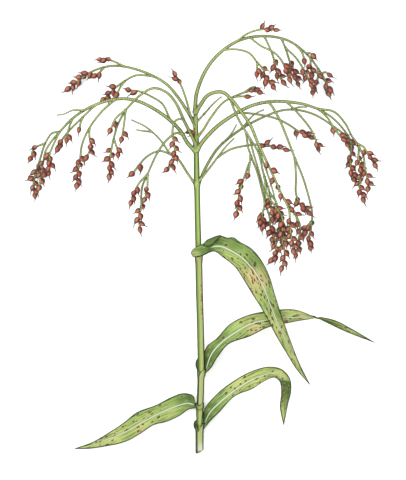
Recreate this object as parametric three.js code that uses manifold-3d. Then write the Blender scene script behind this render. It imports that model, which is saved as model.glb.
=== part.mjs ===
// A cut sorghum stalk with its open, drooping seed head, lying on a flat surface.
//
// Units are millimetres. The stalk lies along +Y, +Z points up from the surface, and the origin is
// the middle of the small flat spot under the foot, where the lowest sheath touches the surface.

import * as THREE from 'three';
import { mergeVertices } from 'three/addons/utils/BufferGeometryUtils.js';
import Module from 'manifold-3d';

const wasm = await Module();
wasm.setup();

// Driving dimensions

const MERGE_DISTANCE = 1e-4;
const SHORTEST_DETAIL = 0.15; // joins and curves keep no finer step than this
const GAP = 0.35; // clearance between neighbouring pieces
const STALK_SIDES = 10; // sides of the culm and of the sheaths
const LIMB_SIDES = 3; // sides of a panicle branch
const FOOT_SLANT = 0.49; // slope of the slanting cut across the foot

// Middle of the culm: x, y, z, and the culm's radius there
const CULM_STATIONS = [
  [0.4, -9.0, 3.09, 2.3],
  [0.4, 5.0, 3.09, 2.2],
  [0.4, 10.0, 3.5, 1.3],
  [0.4, 15.0, 4.1, 1.3],
  [0.5, 21.0, 4.8, 1.8],
  [1.3, 40.0, 6.5, 1.8],
  [1.8, 60.0, 8.3, 1.8],
  [1.2, 90.0, 11.4, 1.85],
  [0.3, 120.0, 14.6, 1.85],
  [-0.2, 145.0, 17.4, 1.85],
  [-0.4, 152.0, 18.2, 2.4],
  [-1.1, 178.0, 21.1, 2.35],
  [-1.5, 199.0, 23.5, 2.3],
  [-1.6, 204.0, 24.1, 2.75],
  [-1.8, 210.0, 24.8, 2.3],
  [-2.1, 230.0, 27.0, 2.15],
  [-2.3, 236.0, 27.8, 2.5],
  [-2.5, 246.0, 29.0, 1.95],
  [-2.7, 254.0, 30.0, 2.1],
  [-2.8, 264.0, 31.2, 1.3],
];

const SHEATH_WALL = 0.65;
const BORE_PAST = 4; // how far the tool that bores a sheath runs past both of its ends
const BLADE_EDGE = 0.7; // thickness of a blade at its margin
const MIDRIB = 1.3; // thickness of a blade at its midrib
const BLADE_ARCH = 0.28; // bulge of each half of a blade, as a share of its width
const BLADE_ROWS = 20;
const BLADE_COLUMNS = 5;
const MIDDLE_COLUMN = (BLADE_COLUMNS - 1) / 2;
const TIP_SHARE = 0.985; // share of the outline curves that a blade uses, so its tip keeps some width

// Each leaf: its sheath as [y, sideways radius, upright radius] of the outside, from the bottom up,
// and the blade as three outline curves [x, y, z] along the left margin, midrib and right margin
const LEAVES = {
  leaf_flag: {
    sheath: [
      [54.5, 2.8, 2.8],
      [60, 2.8, 2.8],
      [90, 2.85, 2.85],
      [120, 2.85, 2.85],
      [140, 2.85, 2.85],
      [146, 3.3, 3.2],
      [150, 4.4, 3.6],
    ],
    left: [
      [-5.2, 152.6, 19.5],
      [-1.5, 155.0, 23.2],
      [5, 158.0, 23.6],
      [12, 161.3, 23.8],
      [20, 163.0, 25.6],
      [31, 159.8, 29.0],
      [42, 153.0, 32.0],
      [50, 143.5, 33.4],
      [56, 131.5, 33.6],
      [61, 115.0, 32.0],
      [66, 99.5, 28.4],
      [73, 80.0, 21.0],
      [81, 60.0, 13.0],
      [89.2, 44.0, 6.0],
    ],
    mid: [
      [-6.6, 149.8, 19.0],
      [-2.0, 150.6, 23.6],
      [4.5, 152.2, 24.6],
      [11, 154.6, 26.0],
      [17, 155.0, 28.2],
      [26, 151.2, 32.0],
      [35, 145.2, 35.0],
      [44, 135.2, 36.8],
      [51, 123.0, 36.2],
      [56.5, 109.0, 33.4],
      [62, 95.0, 28.8],
      [70, 78.0, 21.6],
      [79, 60.0, 13.4],
      [89, 44.0, 6.0],
    ],
    right: [
      [-5.0, 146.6, 19.0],
      [-1.0, 146.2, 22.2],
      [4, 147.8, 23.6],
      [12, 150.8, 25.0],
      [20, 145.5, 27.6],
      [28, 139.0, 29.8],
      [35, 129.0, 31.4],
      [42, 117.5, 31.8],
      [49, 106.5, 30.8],
      [56, 94.0, 27.8],
      [62, 82.5, 23.4],
      [70, 69.0, 17.6],
      [79, 55.0, 11.0],
      [88.8, 43.8, 6.0],
    ],
  },
  leaf_second: {
    sheath: [
      [28, 2.8, 2.8],
      [40, 2.8, 2.8],
      [49, 2.8, 2.8],
      [53, 3.9, 3.9],
      [57, 4.3, 4.0],
    ],
    left: [
      [5.1, 57.0, 6.2],
      [6.6, 68.0, 5.8],
      [8.6, 76.6, 7.4],
      [14, 82.0, 10.0],
      [24, 93.0, 15.0],
      [38, 99.8, 18.6],
      [56, 103.6, 20.0],
      [76, 104.6, 18.0],
      [90, 99.8, 14.8],
      [99, 95.0, 11.6],
      [109, 90.4, 7.6],
      [122, 84.8, 3.8],
      [142.4, 77.0, 1.6],
    ],
    mid: [
      [5.6, 55.5, 8.4],
      [9.6, 68.0, 10.4],
      [17, 77.3, 14.0],
      [29, 86.3, 18.0],
      [42, 93.4, 20.6],
      [57, 96.8, 21.4],
      [74, 98.2, 19.4],
      [87, 98.0, 15.6],
      [98, 96.2, 11.2],
      [110, 92.6, 7.0],
      [124, 86.6, 3.8],
      [142.5, 77.0, 1.6],
    ],
    right: [
      [4.6, 53.4, 10.4],
      [9.4, 57.6, 11.4],
      [14.5, 66.0, 13.0],
      [24, 77.0, 15.6],
      [40, 83.0, 18.6],
      [56, 90.6, 20.4],
      [74, 94.4, 18.6],
      [86, 96.4, 14.4],
      [98, 98.0, 10.0],
      [110, 95.2, 6.2],
      [124, 88.0, 3.6],
      [142.6, 77.0, 1.6],
    ],
  },
  leaf_third: {
    sheath: [
      [11.5, 2.3, 2.3],
      [15, 2.4, 2.4],
      [21, 2.85, 2.85],
      [24, 2.85, 2.85],
      [27, 3.9, 3.9],
      [30, 4.2, 4.0],
    ],
    left: [
      [-3.1, 25.4, 3.6],
      [-8, 24.6, 4.2],
      [-16, 19.2, 5.6],
      [-26, 14.8, 6.2],
      [-36, 12.2, 4.8],
      [-46, 5.5, 3.4],
      [-58, -0.9, 2.2],
      [-72, -4.6, 1.9],
      [-86, -6.8, 1.8],
      [-100, -7.2, 1.8],
    ],
    mid: [
      [-3.3, 28.2, 5.4],
      [-9, 29.6, 6.2],
      [-18, 27.4, 7.4],
      [-28, 23.2, 7.8],
      [-38, 18.4, 7.4],
      [-48, 12.8, 6.4],
      [-60, 6.0, 4.6],
      [-73, 0.6, 3.0],
      [-86, -4.0, 1.9],
      [-100, -7.0, 1.8],
    ],
    right: [
      [-2.9, 30.2, 7.4],
      [-4.4, 35.4, 8.8],
      [-12, 37.7, 9.8],
      [-22, 34.6, 10.2],
      [-35, 28.0, 9.6],
      [-50, 22.0, 8.0],
      [-60, 14.3, 6.0],
      [-71, 6.8, 4.0],
      [-85, -1.4, 2.2],
      [-100, -6.8, 1.8],
    ],
  },
  leaf_fourth: {
    sheath: [
      [-9, 3.25, 3.25],
      [5, 3.25, 3.25],
      [10, 3.7, 3.35],
      [14, 4.6, 3.5],
    ],
    left: [
      [4.5, 15.4, 3.2],
      [6.6, 28.4, 4.8],
      [16, 38.6, 9.6],
      [28, 48.0, 15.2],
      [42, 55.6, 20.0],
      [56, 59.2, 22.6],
      [66, 57.0, 21.6],
      [72.6, 49.4, 17.6],
      [73.6, 40.0, 11.6],
      [71, 28.0, 5.6],
      [67.9, 11.6, 1.6],
    ],
    mid: [
      [4.6, 13.0, 4.6],
      [8.8, 22.0, 7.4],
      [17, 30.6, 11.6],
      [28, 39.6, 16.6],
      [40, 47.4, 21.2],
      [53, 52.8, 24.4],
      [62, 53.2, 24.0],
      [68, 48.6, 19.8],
      [69.4, 39.0, 12.8],
      [68, 27.0, 6.2],
      [67.7, 11.5, 1.6],
    ],
    right: [
      [3.9, 9.4, 6.0],
      [8.6, 14.8, 8.6],
      [18, 24.4, 11.8],
      [29, 35.6, 15.4],
      [42, 41.0, 19.2],
      [54, 48.4, 22.2],
      [60, 50.2, 21.4],
      [64.4, 46.6, 17.0],
      [65.6, 38.0, 11.0],
      [64.6, 27.0, 5.4],
      [67.5, 11.6, 1.6],
    ],
  },
};

// A spikelet's own sizes
const SPIKELET_LENGTH = 6.0;
const SPIKELET_WIDTH = 4.0;
const SPIKELET_DEPTH = 3.2;
const SPIKELET_SIDES = 4;
const SPIKELET_AWN = 1.6; // how far the point runs past the glumes
const SPIKELET_SPLAY = 38; // degrees between a side spikelet and its branch
const SPIKELET_SEAT = 2.6; // how far the base lies back from the middle, along the branch
const TIP_SPLAY = 6; // degrees between the last spikelet and its branch
const SPLAY_SPREAD = 22; // degrees over which the splay varies
const TURN_SPREAD = 1.2; // radians over which a spikelet turns about its branch
const THIRD_TURN = 1.2; // radians by which every third spikelet turns up, away from the two rows
const SIZE_SPREAD = 0.16; // share over which a spikelet's size varies
// Outline of a spikelet: share of its length, share of its girth
const SPIKELET_RINGS = [
  [0, 0],
  [0.34, 1],
  [0.74, 0.62],
  [1, 0],
];

// Each spray of the seed head is a list of limbs. A limb is its points [x, y, z], its thickness at the
// root and at the tip, and how many spikelets its last stretch carries over how many millimetres
const SPRAYS = {
  spray_left_main: [
    { at: [[-2, 230, 27], [-9, 237, 31], [-15, 247, 36], [-28, 259, 42], [-48, 270, 46], [-63, 272, 46],
      [-83, 267, 42], [-100, 257, 35], [-111, 246, 28]], thick: [2.0, 1.2] },
    { at: [[-111, 246, 28], [-117, 245, 25], [-123, 236, 20], [-126, 227, 16], [-129, 217, 12],
      [-132, 206, 9], [-131, 196, 6]], thick: [1.1, 0.8], spikelets: 9, run: 25 },
    { at: [[-122, 237, 20], [-128, 235, 22], [-132, 232, 22], [-134, 225, 20]],
      thick: [0.9, 0.8], spikelets: 3, run: 9 },
    { at: [[-111, 246, 28], [-117, 239, 30], [-122, 231, 28], [-124, 222, 25], [-126, 212, 21],
      [-127, 202, 18]], thick: [1.1, 0.8], spikelets: 6, run: 25 },
    { at: [[-111, 246, 28], [-116, 235, 35], [-119, 227, 34], [-118, 220, 32], [-122, 212, 29]],
      thick: [1.1, 0.8], spikelets: 7, run: 17 },
    { at: [[-81, 267, 42], [-93, 257, 38], [-105, 245, 31], [-110, 238, 27], [-112, 233, 25]],
      thick: [1.1, 0.8], spikelets: 3, run: 6 },
    { at: [[-92, 258, 38], [-94, 253, 39], [-95, 248, 38]], thick: [0.8, 0.8], spikelets: 1, run: 0 },
    { at: [[-101, 256, 34], [-104, 247, 34], [-105, 240, 32]], thick: [0.9, 0.8], spikelets: 2, run: 2 },
    { at: [[-92, 262, 39], [-100, 263, 42], [-107, 260, 43], [-113, 259, 43]], thick: [0.9, 0.7] },
    { at: [[-66, 272, 46], [-77, 262, 45], [-87, 249, 38], [-93, 236, 29], [-95, 222, 21], [-97, 212, 17],
      [-97, 204, 14]], thick: [1.2, 0.8], spikelets: 8, run: 23 },
    { at: [[-87, 249, 38], [-87, 242, 38], [-86, 234, 36], [-89, 226, 33]],
      thick: [0.9, 0.8], spikelets: 4, run: 14 },
    { at: [[-23, 255, 40], [-29, 268, 40], [-38, 274, 38], [-47, 278, 36], [-56, 279, 34]],
      thick: [1.0, 0.8], spikelets: 2, run: 5 },
    { at: [[-13, 243, 35], [-18, 245, 38], [-25, 240, 40], [-32, 231, 38], [-38, 219, 34], [-41, 212, 31]],
      thick: [1.2, 1.0] },
    { at: [[-41, 212, 31], [-47, 206, 31], [-51, 199, 29], [-54, 190, 26]],
      thick: [0.9, 0.8], spikelets: 4, run: 12 },
    { at: [[-41, 212, 31], [-45, 203, 27], [-46, 194, 23], [-46, 186, 20], [-48, 178, 17], [-47, 169, 15]],
      thick: [0.9, 0.8], spikelets: 6, run: 18 },
    { at: [[-41, 212, 31], [-41, 203, 32], [-43, 192, 31]], thick: [0.9, 0.8], spikelets: 3, run: 8 },
  ],
  spray_left_loop: [
    { at: [[-2, 235, 28], [-6, 243, 36], [-12, 255, 45], [-18, 268, 53], [-26, 277, 60], [-36, 280, 63],
      [-47, 274, 62], [-58, 263, 58]], thick: [1.7, 1.1] },
    { at: [[-58, 263, 58], [-66, 256, 58], [-70, 247, 55]], thick: [0.9, 0.8], spikelets: 2, run: 6 },
    { at: [[-58, 263, 58], [-64, 252, 52], [-68, 239, 46], [-70, 229, 42], [-71, 220, 39], [-71, 211, 37]],
      thick: [1.0, 0.8], spikelets: 7, run: 20 },
    { at: [[-67, 240, 46], [-65, 233, 48], [-64, 228, 47]], thick: [0.8, 0.8], spikelets: 2, run: 3 },
    { at: [[-58, 263, 58], [-59, 254, 56], [-60, 247, 54], [-61, 240, 52]],
      thick: [0.9, 0.8], spikelets: 2, run: 4 },
    { at: [[-10, 252, 43], [-14, 256, 49], [-19, 254, 53], [-21, 246, 54], [-20, 238, 52], [-19, 229, 49],
      [-21, 221, 46], [-25, 216, 44]], thick: [1.0, 0.8], spikelets: 8, run: 27 },
  ],
  spray_top_left: [
    { at: [[-3, 252, 30], [-9, 262, 31], [-17, 274, 29], [-27, 285, 26], [-47, 295, 22], [-67, 299, 16],
      [-82, 296, 11], [-93, 290, 6.3], [-104, 281, 3.4]], thick: [1.7, 0.9], spikelets: 8, run: 21 },
    { at: [[-60, 298, 18], [-67, 302, 19], [-73, 304, 18], [-79, 304, 16]],
      thick: [0.9, 0.8], spikelets: 3, run: 7 },
    { at: [[-75, 297, 13], [-79, 294, 14], [-83, 291, 13]], thick: [0.8, 0.8], spikelets: 2, run: 3 },
    { at: [[-37, 290, 24], [-50, 291, 27], [-60, 286, 26], [-68, 280, 22], [-76, 272, 18]],
      thick: [1.0, 0.8], spikelets: 5, run: 13 },
    { at: [[-59, 287, 26], [-63, 281, 28], [-65, 276, 27]], thick: [0.8, 0.8], spikelets: 1, run: 0 },
  ],
  spray_short_left: [
    { at: [[-3, 249, 30], [-7, 260, 38], [-10, 271, 44], [-14, 282, 49], [-19, 291, 51]],
      thick: [1.2, 0.8], spikelets: 3, run: 6 },
  ],
  spray_tiny_left: [
    { at: [[-2, 247, 29], [-4, 247, 30], [-7, 246, 31]], thick: [0.9, 0.8], spikelets: 2, run: 2 },
  ],
  spray_left_low: [
    { at: [[-2, 203, 24], [-9, 213, 22], [-17, 225, 19], [-23, 229, 17], [-31, 240, 14], [-42, 250, 11],
      [-54, 256, 9]], thick: [1.3, 0.7] },
    { at: [[-38, 246, 12], [-44, 247, 9], [-50, 248, 8]], thick: [0.8, 0.7] },
    { at: [[-19, 227, 18], [-31, 231, 15], [-41, 227, 11], [-47, 221, 8], [-53, 213, 6]],
      thick: [1.0, 0.8], spikelets: 2, run: 8 },
  ],
  spray_top_right: [
    { at: [[-3, 261, 31], [-2, 276, 36], [5, 294, 40], [15, 307, 42], [31, 318, 42], [50, 322, 38],
      [70, 319, 31], [85, 309, 22], [95, 297, 12], [101, 287, 6], [104, 278, 2]],
      thick: [2.0, 0.9], spikelets: 4, run: 9 },
    { at: [[30, 317, 42], [39, 324, 44], [49, 327, 43], [61, 327, 41]],
      thick: [0.9, 0.8], spikelets: 4, run: 10 },
    { at: [[20, 311, 42], [31, 311, 47], [40, 308, 50], [46, 301, 50], [51, 295, 49], [53, 288, 47],
      [59, 282, 44]], thick: [1.1, 0.8], spikelets: 6, run: 16 },
    { at: [[46, 301, 50], [46, 297, 51], [46, 292, 50]], thick: [0.8, 0.8], spikelets: 2, run: 2 },
    { at: [[40, 320, 40], [49, 314, 46], [59, 309, 48], [65, 303, 47], [69, 295, 44], [72, 288, 42]],
      thick: [1.1, 0.8], spikelets: 4, run: 11 },
    { at: [[51, 322, 38], [57, 311, 37], [60, 302, 34], [62, 293, 30], [67, 286, 27]],
      thick: [1.1, 0.8], spikelets: 6, run: 18 },
    { at: [[65, 320, 33], [69, 312, 29], [72, 303, 24], [75, 295, 20], [79, 285, 15]],
      thick: [1.1, 0.8], spikelets: 6, run: 18 },
    { at: [[69, 313, 30], [77, 305, 33], [83, 296, 31], [88, 286, 27], [91, 278, 23]],
      thick: [1.0, 0.8], spikelets: 7, run: 20 },
    { at: [[77, 315, 27], [82, 309, 30], [84, 303, 29]], thick: [0.8, 0.8], spikelets: 1, run: 0 },
    { at: [[85, 309, 22], [88, 309, 24], [91, 307, 25]], thick: [0.8, 0.8], spikelets: 1, run: 0 },
    { at: [[88, 305, 19], [89, 299, 22], [90, 292, 21]], thick: [0.8, 0.8], spikelets: 3, run: 6 },
    { at: [[95, 297, 12], [95, 291, 13], [94, 286, 12]], thick: [0.8, 0.8], spikelets: 2, run: 5 },
    { at: [[98, 292, 9], [101, 294, 11], [104, 292, 12]], thick: [0.8, 0.8], spikelets: 1, run: 0 },
  ],
  spray_center_loop: [
    { at: [[-3, 261, 31], [1, 267, 38], [6, 274, 42], [12, 277, 46], [19, 277, 50], [26, 271, 55],
      [33, 262, 60], [41, 250, 65], [46, 238, 69], [52, 225, 72], [59, 210, 73], [67, 193, 71],
      [76, 181, 67], [78, 173, 64]], thick: [2.0, 0.9], spikelets: 9, run: 54 },
    { at: [[24, 273, 54], [31, 256, 59], [40, 241, 63], [47, 229, 62], [51, 213, 59], [56, 197, 56],
      [57, 187, 53], [59, 177, 51]], thick: [1.2, 0.8], spikelets: 7, run: 15 },
    { at: [[56, 198, 56], [61, 190, 60], [63, 183, 60], [64, 173, 57], [66, 160, 51], [68, 150, 47],
      [66, 138, 43]], thick: [0.9, 0.8], spikelets: 13, run: 50 },
    { at: [[37, 245, 63], [39, 233, 58], [41, 226, 56], [38, 216, 51], [34, 204, 47], [31, 191, 44],
      [30, 181, 42]], thick: [1.1, 0.8], spikelets: 7, run: 26 },
    { at: [[41, 227, 56], [40, 219, 58], [39, 211, 57]], thick: [0.8, 0.8], spikelets: 1, run: 0 },
    { at: [[41, 227, 56], [46, 214, 55], [50, 199, 52], [52, 189, 50], [50, 179, 48], [50, 170, 46]],
      thick: [1.1, 0.8], spikelets: 6, run: 10 },
    { at: [[52, 190, 50], [56, 178, 45], [57, 168, 42], [61, 158, 40], [61, 151, 39], [58, 144, 38]],
      thick: [0.9, 0.8], spikelets: 12, run: 33 },
    { at: [[51, 211, 59], [54, 196, 62], [60, 187, 65], [66, 177, 64], [66, 166, 61], [69, 158, 58]],
      thick: [0.9, 0.8], spikelets: 8, run: 28 },
    { at: [[67, 194, 71], [71, 184, 71], [72, 172, 68], [73, 162, 65], [75, 152, 62]],
      thick: [0.9, 0.8], spikelets: 9, run: 24 },
    { at: [[75, 182, 67], [80, 171, 61], [79, 160, 57], [77, 148, 54]],
      thick: [0.9, 0.8], spikelets: 5, run: 20 },
  ],
  spray_right_main: [
    { at: [[-2, 231, 27], [2, 237, 32], [13, 249, 37], [27, 259, 41], [43, 267, 44], [60, 270, 45],
      [82, 268, 43], [95, 264, 39]], thick: [2.1, 1.3] },
    { at: [[95, 264, 39], [107, 262, 38], [116, 253, 34], [122, 242, 29], [127, 235, 26], [127, 225, 24],
      [129, 213, 20], [128, 203, 17], [131, 193, 14]], thick: [1.2, 0.8], spikelets: 12, run: 34 },
    { at: [[127, 235, 26], [131, 226, 31], [132, 217, 31], [134, 209, 29], [135, 201, 27]],
      thick: [0.9, 0.8], spikelets: 5, run: 13 },
    { at: [[126, 236, 26], [131, 234, 30], [135, 227, 34], [140, 220, 34]],
      thick: [0.9, 0.8], spikelets: 5, run: 13 },
    { at: [[95, 264, 39], [105, 258, 35], [115, 248, 29], [121, 238, 23], [121, 228, 18], [121, 218, 15],
      [124, 209, 12]], thick: [1.1, 0.8], spikelets: 8, run: 21 },
    { at: [[95, 264, 39], [103, 256, 36], [107, 248, 33]], thick: [0.9, 0.8], spikelets: 1, run: 0 },
    { at: [[105, 252, 34], [112, 243, 33], [118, 236, 31]], thick: [0.8, 0.8], spikelets: 4, run: 8 },
    { at: [[69, 270, 45], [80, 259, 42], [90, 246, 36], [95, 233, 30]],
      thick: [1.0, 0.8], spikelets: 3, run: 4 },
    { at: [[31, 261, 42], [45, 260, 38], [60, 257, 34], [71, 252, 30], [80, 246, 27], [89, 242, 25]],
      thick: [1.1, 0.8], spikelets: 5, run: 11 },
    { at: [[48, 268, 44], [55, 269, 50], [63, 257, 53], [69, 243, 52], [76, 225, 47]], thick: [1.3, 1.1] },
    { at: [[76, 225, 47], [77, 210, 44], [77, 197, 42], [80, 189, 42], [87, 182, 41]],
      thick: [0.9, 0.8], spikelets: 6, run: 13 },
    { at: [[76, 225, 47], [82, 211, 42], [87, 195, 37], [90, 181, 32], [89, 168, 28], [87, 160, 26],
      [89, 154, 25]], thick: [1.0, 0.8], spikelets: 6, run: 20 },
    { at: [[89, 175, 30], [85, 170, 33], [82, 164, 33]], thick: [0.8, 0.8], spikelets: 4, run: 8 },
  ],
  spray_right_small: [
    { at: [[-2, 241, 29], [3, 247, 34], [10, 258, 37], [19, 269, 38], [28, 274, 38], [39, 278, 38],
      [48, 278, 37]], thick: [1.3, 0.8], spikelets: 3, run: 6 },
    { at: [[27, 274, 38], [33, 274, 40], [38, 274, 41]], thick: [0.8, 0.8], spikelets: 1, run: 0 },
    { at: [[37, 278, 38], [41, 281, 38], [45, 282, 37]], thick: [0.8, 0.7] },
  ],
  spray_right_low: [
    { at: [[-1, 203, 24], [5, 217, 20], [15, 233, 17], [30, 246, 15], [49, 257, 14], [70, 264, 13],
      [90, 261, 12], [107, 251, 11], [118, 242, 9], [122, 234, 7]],
      thick: [1.5, 0.8], spikelets: 3, run: 7 },
    { at: [[20, 238, 16], [26, 245, 20], [30, 252, 22]], thick: [0.8, 0.7] },
    { at: [[34, 249, 15], [44, 260, 18], [52, 264, 19]], thick: [0.8, 0.7] },
    { at: [[74, 264, 13], [80, 266, 15], [86, 266, 17]], thick: [0.8, 0.7] },
  ],
  spray_right_twin: [
    { at: [[-1, 206, 24.5], [5, 213, 27], [15, 226, 26], [22, 235, 26], [28, 241, 26]],
      thick: [1.3, 0.7] },
    { at: [[15, 226, 26], [25, 232, 27], [37, 235, 28], [52, 236, 29], [60, 234, 29], [69, 232, 29]],
      thick: [1.0, 0.8], spikelets: 5, run: 20 },
  ],
};

// Bare twigs that grow out of the top of the culm, in the form of limbs
const CULM_TWIGS = [
  { at: [[-2.6, 253, 30], [4, 260, 33], [12, 269, 33], [18, 274, 32]], thick: [1.1, 0.7] },
  { at: [[4, 260, 33], [8, 265, 36]], thick: [0.8, 0.7] },
];

const finishes = {
  culm: new THREE.MeshStandardMaterial({ color: 0xb9c774, roughness: 0.55, metalness: 0 }),
  leaf: new THREE.MeshStandardMaterial({ color: 0x9bb25a, roughness: 0.6, metalness: 0 }),
  spray: new THREE.MeshStandardMaterial({ color: 0x7f3a2b, roughness: 0.5, metalness: 0 }),
};

// Small repeatable random generator: each call of the returned function gives a number from 0 to 1
function seeded(seed) {
  let state = seed * 7919 + 17;
  return () => {
    state = (state * 1664525 + 1013904223) % 4294967296;
    return state / 4294967296;
  };
}

function toSolid(geometry) {
  const bare = geometry.clone();
  bare.deleteAttribute('normal');
  bare.deleteAttribute('uv');
  const merged = mergeVertices(bare, MERGE_DISTANCE);
  const vertProperties = Float32Array.from(merged.attributes.position.array);
  const triVerts = Uint32Array.from(merged.index.array);
  return new wasm.Manifold(new wasm.Mesh({ numProp: 3, vertProperties, triVerts }));
}

// The largest closed body of a solid, without loose scraps or sealed hollows
function largestBody(solid) {
  return solid.decompose().reduce((best, body) => (body.volume() > best.volume() ? body : best));
}

function toMesh(name, solid, material) {
  const { vertProperties, triVerts } = largestBody(solid).simplify(SHORTEST_DETAIL).getMesh();
  const geometry = new THREE.BufferGeometry();
  geometry.setAttribute('position', new THREE.BufferAttribute(Float32Array.from(vertProperties), 3));
  geometry.setIndex(new THREE.BufferAttribute(Uint32Array.from(triVerts), 1));
  geometry.computeVertexNormals();
  const mesh = new THREE.Mesh(geometry, material);
  mesh.name = name;
  return mesh;
}

// Interpolated culm station [x, z, radius] at a height y
function culmAt(y) {
  const last = CULM_STATIONS.length - 1;
  let k = 0;
  while (k < last - 1 && CULM_STATIONS[k + 1][1] < y) k += 1;
  const [x0, y0, z0, r0] = CULM_STATIONS[k];
  const [x1, y1, z1, r1] = CULM_STATIONS[k + 1];
  const share = (y - y0) / (y1 - y0);
  return [x0 + (x1 - x0) * share, z0 + (z1 - z0) * share, r0 + (r1 - r0) * share];
}

// A closed solid along the culm's middle: a CylinderGeometry whose rings are moved onto stations of
// [y, sideways radius, upright radius]. Every ring stays upright, so neighbouring facets line up
function stalkSolid(stations) {
  const rings = stations.length - 1;
  const geometry = new THREE.CylinderGeometry(1, 1, rings, STALK_SIDES, rings, false);
  const position = geometry.attributes.position;
  for (let i = 0; i < position.count; i += 1) {
    const ring = Math.round(position.getY(i) + rings / 2);
    const [y, sideways, upright] = stations[ring];
    const [x, z] = culmAt(y);
    const around = Math.atan2(position.getX(i), position.getZ(i)) + Math.PI / STALK_SIDES;
    const onAxis = Math.hypot(position.getX(i), position.getZ(i)) < 0.5;
    const out = onAxis ? 0 : 1;
    const across = out * sideways * Math.sin(around);
    const slant = ring === 0 && y < 0 ? FOOT_SLANT * across : 0;
    position.setXYZ(i, x + across, y + slant, z + out * upright * Math.cos(around));
  }
  return toSolid(geometry);
}

function culmSolid(extra) {
  return stalkSolid(CULM_STATIONS.map(([, y, , r]) => [y, r + extra, r + extra]));
}

function sheathSolid(stations) {
  const outside = stalkSolid(stations);
  const bore = stations.map(([y, sideways, upright], k) => {
    const inset = { 0: -BORE_PAST, [stations.length - 1]: BORE_PAST };
    return [y + (inset[k] ?? 0), sideways - SHEATH_WALL, upright - SHEATH_WALL];
  });
  return outside.subtract(stalkSolid(bore));
}

function curveThrough(points) {
  return new THREE.CatmullRomCurve3(points.map((p) => new THREE.Vector3(...p)), false, 'centripetal');
}

// A blade between three outline curves. Both faces are split into triangles the same way
function bladeSolid({ left, mid, right }) {
  const curves = [left, mid, right].map(curveThrough);
  const top = [];
  const bottom = [];
  for (let i = 0; i < BLADE_ROWS; i += 1) {
    const share = (TIP_SHARE * i) / (BLADE_ROWS - 1);
    const [a, m, b] = curves.map((curve) => curve.getPointAt(share));
    const along = curves[1].getTangentAt(share);
    const across = b.clone().sub(a);
    const normal = across.clone().cross(along).normalize();
    for (let j = 0; j < BLADE_COLUMNS; j += 1) {
      const s = (2 * j) / (BLADE_COLUMNS - 1) - 1;
      const edge = s < 0 ? a : b;
      const reach = Math.abs(s);
      const point = m.clone().lerp(edge, reach);
      const arch = BLADE_ARCH * m.distanceTo(edge) * reach * (1 - reach);
      point.addScaledVector(normal, arch);
      const thickness = j === MIDDLE_COLUMN ? MIDRIB : BLADE_EDGE;
      top.push(point);
      bottom.push(point.clone().addScaledVector(normal, -thickness));
    }
  }
  return slabSolid(top, bottom, BLADE_ROWS, BLADE_COLUMNS);
}

// A closed slab between two grids of points
function slabSolid(top, bottom, rows, columns) {
  const points = [...top, ...bottom];
  const index = [];
  const at = (i, j, below) => i * columns + j + (below ? top.length : 0);
  const quad = (a, b, c, d) => index.push(a, b, c, a, c, d);
  for (let i = 0; i < rows - 1; i += 1) {
    for (let j = 0; j < columns - 1; j += 1) {
      quad(at(i, j), at(i, j + 1), at(i + 1, j + 1), at(i + 1, j));
      index.push(at(i, j, true), at(i + 1, j + 1, true), at(i, j + 1, true));
      index.push(at(i, j, true), at(i + 1, j, true), at(i + 1, j + 1, true));
    }
    quad(at(i, 0), at(i + 1, 0), at(i + 1, 0, true), at(i, 0, true));
    quad(at(i, columns - 1), at(i, columns - 1, true), at(i + 1, columns - 1, true), at(i + 1, columns - 1));
  }
  for (let j = 0; j < columns - 1; j += 1) {
    quad(at(0, j), at(0, j, true), at(0, j + 1, true), at(0, j + 1));
    quad(at(rows - 1, j), at(rows - 1, j + 1), at(rows - 1, j + 1, true), at(rows - 1, j, true));
  }
  const geometry = new THREE.BufferGeometry();
  geometry.setAttribute('position', new THREE.Float32BufferAttribute(points.flatMap((p) => p.toArray()), 3));
  geometry.setIndex(index);
  const solid = toSolid(geometry);
  if (solid.volume() > 0) return solid;
  geometry.setIndex(index.reverse());
  return toSolid(geometry);
}

// A tapering tube with a ring at each of the limb's points
function limbTube({ at, thick }) {
  const points = at.map((p) => new THREE.Vector3(...p));
  const rings = points.length - 1;
  const geometry = new THREE.CylinderGeometry(1, 1, rings, LIMB_SIDES, rings, false);
  const position = geometry.attributes.position;
  for (let i = 0; i < position.count; i += 1) {
    const ring = Math.round(position.getY(i) + rings / 2);
    const along = points[Math.min(ring + 1, rings)].clone().sub(points[Math.max(ring - 1, 0)]).normalize();
    const [side, up] = crossAxes(along);
    const radius = (thick[0] + ((thick[1] - thick[0]) * ring) / rings) / 2;
    const place = points[ring]
      .clone()
      .addScaledVector(side, position.getX(i) * radius)
      .addScaledVector(up, position.getZ(i) * radius);
    position.setXYZ(i, place.x, place.y, place.z);
  }
  return toSolid(geometry);
}

// Two directions square to a heading: the first lies level, the second points up
function crossAxes(along) {
  const side = new THREE.Vector3(along.y, -along.x, 0).normalize();
  return [side, side.clone().cross(along).normalize()];
}

// The point that is nearest to a place on some lines of points
function nearestOn(lines, place) {
  const found = lines.flatMap((at) =>
    at.slice(1).map((end, k) => {
      const span = new THREE.Line3(new THREE.Vector3(...at[k]), new THREE.Vector3(...end));
      return span.closestPointToPoint(place, true, new THREE.Vector3());
    }),
  );
  return found.reduce((best, p) => (p.distanceTo(place) < best.distanceTo(place) ? p : best));
}

// The limbs of a spray, each moved to start on one of those before it
function rooted(limbs) {
  const lines = [];
  return limbs.map((limb) => {
    const [first, ...rest] = limb.at;
    const start = lines.length ? nearestOn(lines, new THREE.Vector3(...first)).toArray() : first;
    lines.push([start, ...rest]);
    return { ...limb, at: [start, ...rest] };
  });
}

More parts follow.
